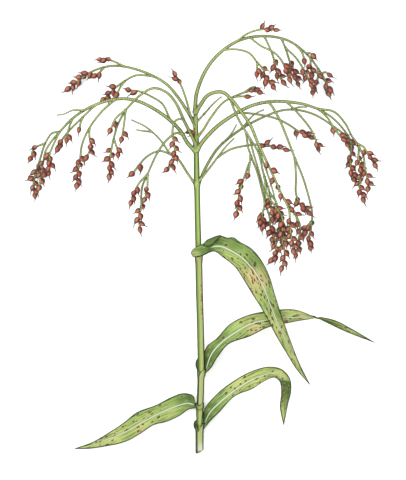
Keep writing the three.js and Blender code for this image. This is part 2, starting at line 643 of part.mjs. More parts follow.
// A pointed, slightly flat ovoid from its base along a heading
function spikeletSolid(base, along, face, size) {
  const last = SPIKELET_RINGS.length - 1;
  const geometry = new THREE.CylinderGeometry(1, 1, last, SPIKELET_SIDES, last, false);
  const side = new THREE.Vector3().crossVectors(along, face).normalize();
  const position = geometry.attributes.position;
  for (let i = 0; i < position.count; i += 1) {
    const ring = Math.round(position.getY(i) + last / 2);
    const [share, girth] = SPIKELET_RINGS[ring];
    const reach = share * SPIKELET_LENGTH * size + (ring === last ? SPIKELET_AWN : 0);
    const place = base
      .clone()
      .addScaledVector(along, reach)
      .addScaledVector(side, (position.getX(i) * girth * SPIKELET_WIDTH * size) / 2)
      .addScaledVector(face, (position.getZ(i) * girth * SPIKELET_DEPTH * size) / 2);
    position.setXYZ(i, place.x, place.y, place.z);
  }
  return toSolid(geometry);
}

// The spikelets of one limb: the last sits on the tip and the others turn out to alternate sides
function limbSpikelets({ at, spikelets, run }, seed) {
  const random = seeded(seed);
  const curve = curveThrough(at);
  const length = curve.getLength();
  const solids = [];
  for (let k = 0; k < spikelets; k += 1) {
    const back = spikelets > 1 ? (run * k) / (spikelets - 1) : 0;
    const share = Math.max(0, 1 - (back + SPIKELET_SEAT) / length);
    const base = nearestOn([at], curve.getPointAt(share));
    const heading = curve.getTangentAt(share);
    const [side, up] = crossAxes(heading);
    const turn = Math.PI * k + (k % 3 === 2 ? THIRD_TURN : 0) + (random() - 0.5) * TURN_SPREAD;
    const lean = SPIKELET_SPLAY + (random() - 0.5) * SPLAY_SPREAD;
    const splay = THREE.MathUtils.degToRad(k === 0 ? TIP_SPLAY : lean);
    const outward = side.clone().multiplyScalar(Math.cos(turn)).addScaledVector(up, Math.sin(turn));
    const along = heading.clone().multiplyScalar(Math.cos(splay)).addScaledVector(outward, Math.sin(splay));
    const face = up.clone().addScaledVector(along, -up.dot(along)).normalize();
    const size = 1 + (random() - 0.5) * SIZE_SPREAD;
    solids.push(spikeletSolid(base, along, face, size));
  }
  return solids;
}

function spraySolid(limbs, sprayNumber, culmRoom) {
  const solids = rooted(limbs).flatMap((limb, k) => {
    const own = limb.spikelets ? limbSpikelets(limb, sprayNumber * 100 + k) : [];
    return [limbTube(limb), ...own];
  });
  return wasm.Manifold.union(solids).subtract(culmRoom);
}

const stalk = new THREE.Group();
stalk.name = 'sorghum_stalk';

const culm = wasm.Manifold.union([culmSolid(0), ...CULM_TWIGS.map(limbTube)]);
stalk.add(toMesh('culm', culm, finishes.culm));

for (const [name, leaf] of Object.entries(LEAVES)) {
  const solid = wasm.Manifold.union([sheathSolid(leaf.sheath), bladeSolid(leaf)]);
  stalk.add(toMesh(name, solid, finishes.leaf));
}

const culmRoom = culmSolid(GAP);
Object.entries(SPRAYS).forEach(([name, limbs], k) => {
  stalk.add(toMesh(name, spraySolid(limbs, k + 1, culmRoom), finishes.spray));
});

export default stalk;
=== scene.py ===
"""A cut sorghum stalk with its open, drooping seed head, lying on a pale surface.

Sizes are millimetres until a mesh is made. The stalk lies along +Y and +Z points up from the surface.
Every piece takes the place of one node of the frame, which holds the same stalk in plain solids.
"""

import logging
import math
from bisect import bisect_right
from collections.abc import Iterable, Iterator, Sequence
from dataclasses import dataclass, field
from enum import Enum
from functools import reduce

import bpy
from bpy.types import Material, Node, NodeInputs, NodeOutputs, NodeTree, Object, Scene
from bpy.types import NodeSocket as Socket
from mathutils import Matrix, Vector


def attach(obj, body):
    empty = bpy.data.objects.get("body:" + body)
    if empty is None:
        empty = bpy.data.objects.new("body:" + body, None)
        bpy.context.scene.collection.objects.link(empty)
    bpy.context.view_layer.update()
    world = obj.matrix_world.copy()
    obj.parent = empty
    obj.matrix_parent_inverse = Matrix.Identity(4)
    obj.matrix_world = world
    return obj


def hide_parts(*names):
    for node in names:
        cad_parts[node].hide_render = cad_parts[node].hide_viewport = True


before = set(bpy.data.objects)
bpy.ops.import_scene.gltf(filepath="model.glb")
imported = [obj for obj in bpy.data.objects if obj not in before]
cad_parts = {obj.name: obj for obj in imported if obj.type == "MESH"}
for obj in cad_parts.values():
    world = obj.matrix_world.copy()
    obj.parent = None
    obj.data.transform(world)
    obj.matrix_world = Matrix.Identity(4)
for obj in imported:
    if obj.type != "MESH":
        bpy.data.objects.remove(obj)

logging.basicConfig(level=logging.INFO, format="%(name)s: %(message)s")
log = logging.getLogger("sorghum")

Point = tuple[float, float, float]
Band = tuple[float, float]  # where a soft step starts and ends
Patch = tuple[float, float, float, float]  # x, y, radius and strength
Ring = Sequence[int]  # indices of points
Spot = tuple[Vector, Vector, dict[str, float], float]  # top, bottom, numbers, shade of the bottom
Inputs = dict[str | int, object]  # values or sockets for a node's inputs, by name or number

MM = 0.001
BODY = "root"
CURVE_PIECES = 200  # steps that measure a curve's length
FOOT_SLANT = 0.49  # slope of the slanting cut across the foot
PAINT_DEPTH = 0.52  # share of a colour that its paint reflects, because the studio is bright
NO_SEAM = 9.0  # distance to a seam where there is none
KNOT_TINT = 0.7  # how far a swollen node is painted as one
FIBRE_STRETCH = 0.06  # pace of the fibres' pattern along a stem or leaf, for one across
SPOT_STRETCH = 0.62  # the same for the spots

# Numbers of a part of a leaf that has no midrib and no marks, and of the bare culm
PLAIN_LEAF = {"rib": 0.0, "rib_strength": 0.0, "yellow": 0.0, "buff": 0.0, "spots": 0.0}
PLAIN_STEM = {"seam": NO_SEAM, "bare": 0.0, "spots": 0.0}

# Middle of the culm: y, x and z
CULM_STATIONS: tuple[Point, ...] = (
    (-9.0, 0.4, 3.09), (5.0, 0.4, 3.09), (10.0, 0.4, 3.5), (15.0, 0.4, 4.1), (21.0, 0.5, 4.8),
    (40.0, 1.3, 6.5), (60.0, 1.8, 8.3), (90.0, 1.2, 11.4), (120.0, 0.3, 14.6), (145.0, -0.2, 17.4),
    (152.0, -0.4, 18.2), (178.0, -1.1, 21.1), (199.0, -1.5, 23.5), (204.0, -1.6, 24.1),
    (210.0, -1.8, 24.8), (230.0, -2.1, 27.0), (236.0, -2.3, 27.8), (246.0, -2.5, 29.0),
    (254.0, -2.7, 30.0), (264.0, -2.8, 31.2),
)


@dataclass(frozen=True)
class Limb:
    """One branch of a spray: its route, how thick it is and the spikelets it carries.

    The spikelets stand over the last `run` millimetres, with the last of them on the tip.
    """

    at: tuple[Point, ...]
    root: float
    tip: float
    spikelets: int = 0
    run: float = 0.0


@dataclass(frozen=True)
class LeafShape:
    """A leaf: its sheath as (y, sideways radius, upright radius), and its blade's three outlines."""

    sheath: tuple[Point, ...]
    left: tuple[Point, ...]
    mid: tuple[Point, ...]
    right: tuple[Point, ...]


SPRAYS: dict[str, tuple[Limb, ...]] = {
    "spray_left_main": (
        Limb(((-2, 230, 27), (-9, 237, 31), (-15, 247, 36), (-28, 259, 42), (-48, 270, 46),
              (-63, 272, 46), (-83, 267, 42), (-100, 257, 35), (-111, 246, 28)), 2.0, 1.2),
        Limb(((-111, 246, 28), (-117, 245, 25), (-123, 236, 20), (-126, 227, 16), (-129, 217, 12),
              (-132, 206, 9), (-131, 196, 6)), 1.1, 0.8, 9, 25),
        Limb(((-122, 237, 20), (-128, 235, 22), (-132, 232, 22), (-134, 225, 20)), 0.9, 0.8, 3, 9),
        Limb(((-111, 246, 28), (-117, 239, 30), (-122, 231, 28), (-124, 222, 25), (-126, 212, 21),
              (-127, 202, 18)), 1.1, 0.8, 6, 25),
        Limb(((-111, 246, 28), (-116, 235, 35), (-119, 227, 34), (-118, 220, 32), (-122, 212, 29)),
              1.1, 0.8, 7, 17),
        Limb(((-81, 267, 42), (-93, 257, 38), (-105, 245, 31), (-110, 238, 27), (-112, 233, 25)),
              1.1, 0.8, 3, 6),
        Limb(((-92, 258, 38), (-94, 253, 39), (-95, 248, 38)), 0.8, 0.8, 1, 0),
        Limb(((-101, 256, 34), (-104, 247, 34), (-105, 240, 32)), 0.9, 0.8, 2, 2),
        Limb(((-92, 262, 39), (-100, 263, 42), (-107, 260, 43), (-113, 259, 43)), 0.9, 0.7),
        Limb(((-66, 272, 46), (-77, 262, 45), (-87, 249, 38), (-93, 236, 29), (-95, 222, 21),
              (-97, 212, 17), (-97, 204, 14)), 1.2, 0.8, 8, 23),
        Limb(((-87, 249, 38), (-87, 242, 38), (-86, 234, 36), (-89, 226, 33)), 0.9, 0.8, 4, 14),
        Limb(((-23, 255, 40), (-29, 268, 40), (-38, 274, 38), (-47, 278, 36), (-56, 279, 34)),
              1.0, 0.8, 2, 5),
        Limb(((-13, 243, 35), (-18, 245, 38), (-25, 240, 40), (-32, 231, 38), (-38, 219, 34),
              (-41, 212, 31)), 1.2, 1.0),
        Limb(((-41, 212, 31), (-47, 206, 31), (-51, 199, 29), (-54, 190, 26)), 0.9, 0.8, 4, 12),
        Limb(((-41, 212, 31), (-45, 203, 27), (-46, 194, 23), (-46, 186, 20), (-48, 178, 17),
              (-47, 169, 15)), 0.9, 0.8, 6, 18),
        Limb(((-41, 212, 31), (-41, 203, 32), (-43, 192, 31)), 0.9, 0.8, 3, 8),
    ),
    "spray_left_loop": (
        Limb(((-2, 235, 28), (-6, 243, 36), (-12, 255, 45), (-18, 268, 53), (-26, 277, 60),
              (-36, 280, 63), (-47, 274, 62), (-58, 263, 58)), 1.7, 1.1),
        Limb(((-58, 263, 58), (-66, 256, 58), (-70, 247, 55)), 0.9, 0.8, 2, 6),
        Limb(((-58, 263, 58), (-64, 252, 52), (-68, 239, 46), (-70, 229, 42), (-71, 220, 39),
              (-71, 211, 37)), 1.0, 0.8, 7, 20),
        Limb(((-67, 240, 46), (-65, 233, 48), (-64, 228, 47)), 0.8, 0.8, 2, 3),
        Limb(((-58, 263, 58), (-59, 254, 56), (-60, 247, 54), (-61, 240, 52)), 0.9, 0.8, 2, 4),
        Limb(((-10, 252, 43), (-14, 256, 49), (-19, 254, 53), (-21, 246, 54), (-20, 238, 52),
              (-19, 229, 49), (-21, 221, 46), (-25, 216, 44)), 1.0, 0.8, 8, 27),
    ),
    "spray_top_left": (
        Limb(((-3, 252, 30), (-9, 262, 31), (-17, 274, 29), (-27, 285, 26), (-47, 295, 22),
              (-67, 299, 16), (-82, 296, 11), (-93, 290, 6.3), (-104, 281, 3.4)), 1.7, 0.9, 8, 21),
        Limb(((-60, 298, 18), (-67, 302, 19), (-73, 304, 18), (-79, 304, 16)), 0.9, 0.8, 3, 7),
        Limb(((-75, 297, 13), (-79, 294, 14), (-83, 291, 13)), 0.8, 0.8, 2, 3),
        Limb(((-37, 290, 24), (-50, 291, 27), (-60, 286, 26), (-68, 280, 22), (-76, 272, 18)),
              1.0, 0.8, 5, 13),
        Limb(((-59, 287, 26), (-63, 281, 28), (-65, 276, 27)), 0.8, 0.8, 1, 0),
    ),
    "spray_short_left": (
        Limb(((-3, 249, 30), (-7, 260, 38), (-10, 271, 44), (-14, 282, 49), (-19, 291, 51)),
              1.2, 0.8, 3, 6),
    ),
    "spray_tiny_left": (
        Limb(((-2, 247, 29), (-4, 247, 30), (-7, 246, 31)), 0.9, 0.8, 2, 2),
    ),
    "spray_left_low": (
        Limb(((-2, 203, 24), (-9, 213, 22), (-17, 225, 19), (-23, 229, 17), (-31, 240, 14),
              (-42, 250, 11), (-54, 256, 9)), 1.3, 0.7),
        Limb(((-38, 246, 12), (-44, 247, 9), (-50, 248, 8)), 0.8, 0.7),
        Limb(((-19, 227, 18), (-31, 231, 15), (-41, 227, 11), (-47, 221, 8), (-53, 213, 6)),
              1.0, 0.8, 2, 8),
    ),
    "spray_top_right": (
        Limb(((-3, 261, 31), (-2, 276, 36), (5, 294, 40), (15, 307, 42), (31, 318, 42),
              (50, 322, 38), (70, 319, 31), (85, 309, 22), (95, 297, 12), (101, 287, 6),
              (104, 278, 2)), 2.0, 0.9, 4, 9),
        Limb(((30, 317, 42), (39, 324, 44), (49, 327, 43), (61, 327, 41)), 0.9, 0.8, 4, 10),
        Limb(((20, 311, 42), (31, 311, 47), (40, 308, 50), (46, 301, 50), (51, 295, 49),
              (53, 288, 47), (59, 282, 44)), 1.1, 0.8, 6, 16),
        Limb(((46, 301, 50), (46, 297, 51), (46, 292, 50)), 0.8, 0.8, 2, 2),
        Limb(((40, 320, 40), (49, 314, 46), (59, 309, 48), (65, 303, 47), (69, 295, 44),
              (72, 288, 42)), 1.1, 0.8, 4, 11),
        Limb(((51, 322, 38), (57, 311, 37), (60, 302, 34), (62, 293, 30), (67, 286, 27)), 1.1, 0.8, 6, 18),
        Limb(((65, 320, 33), (69, 312, 29), (72, 303, 24), (75, 295, 20), (79, 285, 15)), 1.1, 0.8, 6, 18),
        Limb(((69, 313, 30), (77, 305, 33), (83, 296, 31), (88, 286, 27), (91, 278, 23)), 1.0, 0.8, 7, 20),
        Limb(((77, 315, 27), (82, 309, 30), (84, 303, 29)), 0.8, 0.8, 1, 0),
        Limb(((85, 309, 22), (88, 309, 24), (91, 307, 25)), 0.8, 0.8, 1, 0),
        Limb(((88, 305, 19), (89, 299, 22), (90, 292, 21)), 0.8, 0.8, 3, 6),
        Limb(((95, 297, 12), (95, 291, 13), (94, 286, 12)), 0.8, 0.8, 2, 5),
        Limb(((98, 292, 9), (101, 294, 11), (104, 292, 12)), 0.8, 0.8, 1, 0),
    ),
    "spray_center_loop": (
        Limb(((-3, 261, 31), (1, 267, 38), (6, 274, 42), (12, 277, 46), (19, 277, 50), (26, 271, 55),
              (33, 262, 60), (41, 250, 65), (46, 238, 69), (52, 225, 72), (59, 210, 73),
              (67, 193, 71), (76, 181, 67), (78, 173, 64)), 2.0, 0.9, 9, 54),
        Limb(((24, 273, 54), (31, 256, 59), (40, 241, 63), (47, 229, 62), (51, 213, 59),
              (56, 197, 56), (57, 187, 53), (59, 177, 51)), 1.2, 0.8, 7, 15),
        Limb(((56, 198, 56), (61, 190, 60), (63, 183, 60), (64, 173, 57), (66, 160, 51),
              (68, 150, 47), (66, 138, 43)), 0.9, 0.8, 13, 50),
        Limb(((37, 245, 63), (39, 233, 58), (41, 226, 56), (38, 216, 51), (34, 204, 47),
              (31, 191, 44), (30, 181, 42)), 1.1, 0.8, 7, 26),
        Limb(((41, 227, 56), (40, 219, 58), (39, 211, 57)), 0.8, 0.8, 1, 0),
        Limb(((41, 227, 56), (46, 214, 55), (50, 199, 52), (52, 189, 50), (50, 179, 48),
              (50, 170, 46)), 1.1, 0.8, 6, 10),
        Limb(((52, 190, 50), (56, 178, 45), (57, 168, 42), (61, 158, 40), (61, 151, 39),
              (58, 144, 38)), 0.9, 0.8, 12, 33),
        Limb(((51, 211, 59), (54, 196, 62), (60, 187, 65), (66, 177, 64), (66, 166, 61),
              (69, 158, 58)), 0.9, 0.8, 8, 28),
        Limb(((67, 194, 71), (71, 184, 71), (72, 172, 68), (73, 162, 65), (75, 152, 62)), 0.9, 0.8, 9, 24),
        Limb(((75, 182, 67), (80, 171, 61), (79, 160, 57), (77, 148, 54)), 0.9, 0.8, 5, 20),
        Limb(((46, 238, 69), (50, 224, 65), (55, 210, 62), (59, 197, 59), (61, 188, 57)), 1.0, 0.8),
        Limb(((40, 241, 63), (43, 229, 60), (47, 216, 57), (51, 202, 54), (54, 188, 51)), 1.0, 0.8),
    ),
    "spray_right_main": (
        Limb(((-2, 231, 27), (2, 237, 32), (13, 249, 37), (27, 259, 41), (43, 267, 44),
              (60, 270, 45), (82, 268, 43), (95, 264, 39)), 2.1, 1.3),
        Limb(((95, 264, 39), (107, 262, 38), (116, 253, 34), (122, 242, 29), (127, 235, 26),
              (127, 225, 24), (129, 213, 20), (128, 203, 17), (131, 193, 14)), 1.2, 0.8, 12, 34),
        Limb(((127, 235, 26), (131, 226, 31), (132, 217, 31), (134, 209, 29), (135, 201, 27)),
              0.9, 0.8, 5, 13),
        Limb(((126, 236, 26), (131, 234, 30), (135, 227, 34), (140, 220, 34)), 0.9, 0.8, 5, 13),
        Limb(((95, 264, 39), (105, 258, 35), (115, 248, 29), (121, 238, 23), (121, 228, 18),
              (121, 218, 15), (124, 209, 12)), 1.1, 0.8, 8, 21),
        Limb(((95, 264, 39), (103, 256, 36), (107, 248, 33)), 0.9, 0.8, 1, 0),
        Limb(((105, 252, 34), (112, 243, 33), (118, 236, 31)), 0.8, 0.8, 4, 8),
        Limb(((69, 270, 45), (80, 259, 42), (90, 246, 36), (95, 233, 30)), 1.0, 0.8, 3, 4),
        Limb(((31, 261, 42), (45, 260, 38), (60, 257, 34), (71, 252, 30), (80, 246, 27),
              (89, 242, 25)), 1.1, 0.8, 5, 11),
        Limb(((48, 268, 44), (55, 269, 50), (63, 257, 53), (69, 243, 52), (76, 225, 47)), 1.3, 1.1),
        Limb(((76, 225, 47), (77, 210, 44), (77, 197, 42), (80, 189, 42), (87, 182, 41)), 0.9, 0.8, 6, 13),
        Limb(((76, 225, 47), (82, 211, 42), (87, 195, 37), (90, 181, 32), (89, 168, 28),
              (87, 160, 26), (89, 154, 25)), 1.0, 0.8, 6, 20),
        Limb(((89, 175, 30), (85, 170, 33), (82, 164, 33)), 0.8, 0.8, 4, 8),
    ),
    "spray_right_small": (
        Limb(((-2, 241, 29), (3, 247, 34), (10, 258, 37), (19, 269, 38), (28, 274, 38),
              (39, 278, 38), (48, 278, 37)), 1.3, 0.8, 3, 6),
        Limb(((27, 274, 38), (33, 274, 40), (38, 274, 41)), 0.8, 0.8, 1, 0),
        Limb(((37, 278, 38), (41, 281, 38), (45, 282, 37)), 0.8, 0.7),
    ),
    "spray_right_low": (
        Limb(((-1, 203, 24), (5, 217, 20), (15, 233, 17), (30, 246, 15), (49, 257, 14),
              (70, 264, 13), (90, 261, 12), (107, 251, 11), (118, 242, 9), (122, 234, 7)), 1.5, 0.8, 3, 7),
        Limb(((20, 238, 16), (26, 245, 20), (30, 252, 22)), 0.8, 0.7),
        Limb(((34, 249, 15), (44, 260, 18), (52, 264, 19)), 0.8, 0.7),
        Limb(((74, 264, 13), (80, 266, 15), (86, 266, 17)), 0.8, 0.7),
    ),
    "spray_right_twin": (
        Limb(((-1, 206, 24.5), (5, 213, 27), (15, 226, 26), (22, 235, 26), (28, 241, 26)), 1.3, 0.7),
        Limb(((15, 226, 26), (25, 232, 27), (37, 235, 28), (52, 236, 29), (60, 234, 29),
              (69, 232, 29)), 1.0, 0.8, 5, 20),
    ),
}

LEAVES: dict[str, LeafShape] = {
    "leaf_flag": LeafShape(
        sheath=(
            (54.5, 2.8, 2.8), (60, 2.8, 2.8), (90, 2.85, 2.85), (120, 2.85, 2.85),
            (140, 2.85, 2.85), (146, 3.3, 3.2), (150, 4.4, 3.6),
        ),
        left=(
            (-5.2, 152.6, 19.5), (-1.5, 155.0, 23.2), (5, 158.0, 23.6), (12, 161.3, 23.8),
            (18, 163.4, 25.2), (22.4, 161.9, 26.4), (27.6, 162.2, 28.0), (31.6, 159.2, 29.2),
            (42, 153.0, 32.0), (50, 143.5, 33.4),
            (56, 131.5, 33.6), (61, 115.0, 32.0), (66, 99.5, 28.4), (73, 80.0, 21.0),
            (81, 60.0, 13.0), (89.2, 44.0, 6.0),
        ),
        mid=(
            (-6.6, 149.8, 19.0), (-2.0, 150.6, 23.6), (4.5, 152.2, 24.6), (11, 154.6, 26.0),
            (17, 155.0, 28.2), (26, 151.2, 32.0), (35, 145.2, 35.0), (44, 135.2, 36.8),
            (51, 123.0, 36.2), (56.5, 109.0, 33.4), (62, 95.0, 28.8), (70, 78.0, 21.6),
            (79, 60.0, 13.4), (89, 44.0, 6.0),
        ),
        right=(
            (-5.0, 146.6, 19.0), (-1.0, 146.2, 22.2), (4, 147.8, 23.6), (12, 150.8, 25.0),
            (20, 145.5, 27.6), (28, 139.0, 29.8), (35, 129.0, 31.4), (42, 117.5, 31.8),
            (49, 106.5, 30.8), (56, 94.0, 27.8), (62, 82.5, 23.4), (70, 69.0, 17.6),
            (79, 55.0, 11.0), (88.8, 43.8, 6.0),
        ),
    ),
    "leaf_second": LeafShape(
        sheath=(
            (28, 2.8, 2.8), (40, 2.8, 2.8), (49, 2.8, 2.8), (53, 3.9, 3.9), (57, 4.3, 4.0),
        ),
        left=(
            (3.4, 57.0, 6.0), (3.6, 68.0, 6.2), (6.4, 75.4, 7.4), (14, 81.2, 10.0),
            (24, 92.6, 15.0), (38, 99.8, 18.6), (56, 103.6, 20.0), (76, 104.6, 18.0),
            (90, 99.8, 14.8), (99, 95.0, 11.6), (109, 90.4, 7.6), (122, 84.8, 3.8),
            (142.4, 77.0, 1.6),
        ),
        mid=(
            (5.6, 55.5, 8.4), (9.6, 68.0, 10.4), (17, 77.3, 14.0), (29, 86.3, 18.0),
            (42, 93.4, 20.6), (57, 96.8, 21.4), (74, 98.2, 19.4), (87, 98.0, 15.6),
            (98, 96.2, 11.2), (110, 92.6, 7.0), (124, 86.6, 3.8), (142.5, 77.0, 1.6),
        ),
        right=(
            (4.6, 53.4, 10.4), (9.4, 57.6, 11.4), (14.5, 66.0, 13.0), (24, 77.0, 15.6),
            (40, 83.0, 18.6), (56, 90.6, 20.4), (74, 94.4, 18.6), (86, 96.4, 14.4),
            (98, 98.0, 10.0), (110, 95.2, 6.2), (124, 88.0, 3.6), (142.6, 77.0, 1.6),
        ),
    ),
    "leaf_third": LeafShape(
        sheath=(
            (11.5, 2.3, 2.3), (15, 2.4, 2.4), (21, 2.85, 2.85), (24, 2.85, 2.85), (27, 3.9, 3.9),
            (30, 4.2, 4.0),
        ),
        left=(
            (-3.1, 25.4, 3.6), (-8, 24.6, 4.2), (-16, 19.2, 5.6), (-26, 14.8, 6.2),
            (-36, 12.2, 4.8), (-46, 5.5, 3.4), (-58, -0.9, 2.2), (-72, -4.6, 1.9),
            (-86, -6.8, 1.8), (-100, -7.2, 1.8),
        ),
        mid=(
            (-3.3, 28.2, 5.4), (-9, 29.6, 6.2), (-18, 27.4, 7.4), (-28, 23.2, 7.8),
            (-38, 18.4, 7.4), (-48, 12.8, 6.4), (-60, 6.0, 4.6), (-73, 0.6, 3.0), (-86, -4.0, 1.9),
            (-100, -7.0, 1.8),
        ),
        right=(
            (-2.9, 30.2, 7.4), (-4.4, 35.4, 8.8), (-12, 37.7, 9.8), (-22, 34.6, 10.2),
            (-35, 28.0, 9.6), (-50, 22.0, 8.0), (-60, 14.3, 6.0), (-71, 6.8, 4.0),
            (-85, -1.4, 2.2), (-100, -6.8, 1.8),
        ),
    ),
    "leaf_fourth": LeafShape(
        sheath=(
            (-9, 3.25, 3.25), (5, 3.25, 3.25), (10, 3.7, 3.35), (14, 4.6, 3.5),
        ),
        left=(
            (3.0, 14.0, 2.6), (3.8, 24.0, 3.2), (7.6, 29.8, 5.2), (16, 38.6, 9.6),
            (28, 48.0, 15.2), (42, 55.6, 20.0), (56, 59.2, 22.6), (66, 57.0, 21.6),
            (72.6, 49.4, 17.6), (73.6, 40.0, 11.6), (71, 28.0, 5.6), (67.9, 11.6, 1.6),
        ),
        mid=(
            (4.6, 13.0, 4.6), (8.8, 22.0, 7.4), (17, 30.6, 11.6), (28, 39.6, 16.6),
            (40, 47.4, 21.2), (53, 52.8, 24.4), (62, 53.2, 24.0), (68, 48.6, 19.8),
            (69.4, 39.0, 12.8), (68, 27.0, 6.2), (67.7, 11.5, 1.6),
        ),
        right=(
            (3.9, 9.4, 6.0), (8.6, 14.8, 8.6), (18, 24.4, 11.8), (29, 35.6, 15.4),
            (42, 41.0, 19.2), (54, 48.4, 22.2), (60, 50.2, 21.4), (64.4, 46.6, 17.0),
            (65.6, 38.0, 11.0), (64.6, 27.0, 5.4), (67.5, 11.6, 1.6),
        ),
    ),
}


def colour(tint: Point) -> tuple[float, ...]:
    """Turns a colour as it should look into the paint that shows it in the bright studio.

    Args:
        tint: Its red, green and blue, 0 to 255.

    Returns:
        The linear colour for a shader.
    """
    shares = [part / 255 for part in tint]
    linear = [s / 12.92 if s <= 0.04045 else ((s + 0.055) / 1.055) ** 2.4 for s in shares]
    return (*(part * PAINT_DEPTH for part in linear), 1.0)


def blend(low: float, high: float, share: float) -> float:
    """Returns the value that lies `share` of the way from low to high."""
    return low + (high - low) * share


def soft_step(value: float, low: float, high: float) -> float:
    """Returns a value that rises smoothly from 0 at low to 1 at high."""
    share = min(1.0, max(0.0, (value - low) / (high - low)))
    return share * share * (3 - 2 * share)


def hump(value: float, centre: float, width: float) -> float:
    """Returns a smooth bump of height 1 round a centre, which has died away at three widths."""
    return math.exp(-(((value - centre) / width) ** 2))


def angles(count: int) -> list[float]:
    """Returns evenly spaced angles all the way round."""
    return [math.tau * k / count for k in range(count)]


def read_stations(stations: Sequence[Sequence[float]], y: float, soft: bool = True) -> list[float]:
    """Reads the values at a height between stations.

    Args:
        stations: Rows in order of their height, which is their first number.
        y: The height.
        soft: Whether the values change smoothly at each station.

    Returns:
        The other numbers of a row, at that height.
    """
    last = len(stations) - 2
    k = next((k for k in range(last) if y <= stations[k + 1][0]), last)
    low, high = stations[k], stations[k + 1]
    share = soft_step(y, low[0], high[0]) if soft else (y - low[0]) / (high[0] - low[0])
    return [blend(one, other, share) for one, other in zip(low[1:], high[1:])]


class Chance:
    """A small repeatable random generator."""

    def __init__(self, seed: int) -> None:
        """Starts the generator from a whole number."""
        self.state = seed * 7919 + 17

    def draw(self) -> float:
        """Returns the next number, from 0 to 1."""
        self.state = (self.state * 1664525 + 1013904223) % 4294967296
        return self.state / 4294967296


class SmoothCurve:
    """A centripetal Catmull-Rom curve through points, read by its share of length."""

    def __init__(self, points: Iterable[Point]) -> None:
        """Measures the curve.

        Args:
            points: The points that it goes through.
        """
        self.points = [Vector(p) for p in points]
        self.reached = [0.0]
        before = self.raw(0.0)
        for step in range(1, CURVE_PIECES + 1):
            here = self.raw(step / CURVE_PIECES)
            self.reached.append(self.reached[-1] + (here - before).length)
            before = here

    @property
    def length(self) -> float:
        """The curve's whole length."""
        return self.reached[-1]

    def raw(self, t: float) -> Vector:
        """Finds a point by the curve's own parameter.

        Args:
            t: From 0 to 1, evenly over the spans between points.

        Returns:
            The point on the curve.
        """
        spans = len(self.points) - 1
        k = min(int(t * spans), spans - 1)
        weight = t * spans - k
        p1 = self.points[k]
        p2 = self.points[k + 1]
        p0 = self.points[k - 1] if k > 0 else 2 * p1 - p2
        p3 = self.points[k + 2] if k + 2 <= spans else 2 * p2 - p1
        d1 = math.sqrt((p2 - p1).length) or 1.0
        d0 = math.sqrt((p1 - p0).length) or d1
        d2 = math.sqrt((p3 - p2).length) or d1
        t1 = ((p1 - p0) / d0 - (p2 - p0) / (d0 + d1) + (p2 - p1) / d1) * d1
        t2 = ((p2 - p1) / d1 - (p3 - p1) / (d1 + d2) + (p3 - p2) / d2) * d1
        square = weight * weight
        bend = p1 * -3 + p2 * 3 - t1 * 2 - t2
        return p1 + t1 * weight + bend * square + (p1 * 2 - p2 * 2 + t1 + t2) * square * weight

    def parameter(self, share: float) -> float:
        """Turns a share of the length into the curve's own parameter.

        Args:
            share: From 0 to 1.

        Returns:
            The parameter, from 0 to 1.
        """
        want = min(1.0, max(0.0, share)) * self.length
        low = min(bisect_right(self.reached, want), CURVE_PIECES) - 1
        span = self.reached[low + 1] - self.reached[low]
        return (low + ((want - self.reached[low]) / span if span else 0.0)) / CURVE_PIECES

    def at(self, share: float) -> Vector:
        """Returns the point at a share of the length."""
        return self.raw(self.parameter(share))

    def heading(self, share: float) -> Vector:
        """Returns the unit direction of travel at a share of the length."""
        t = self.parameter(share)
        return (self.raw(min(1.0, t + 1e-4)) - self.raw(max(0.0, t - 1e-4))).normalized()


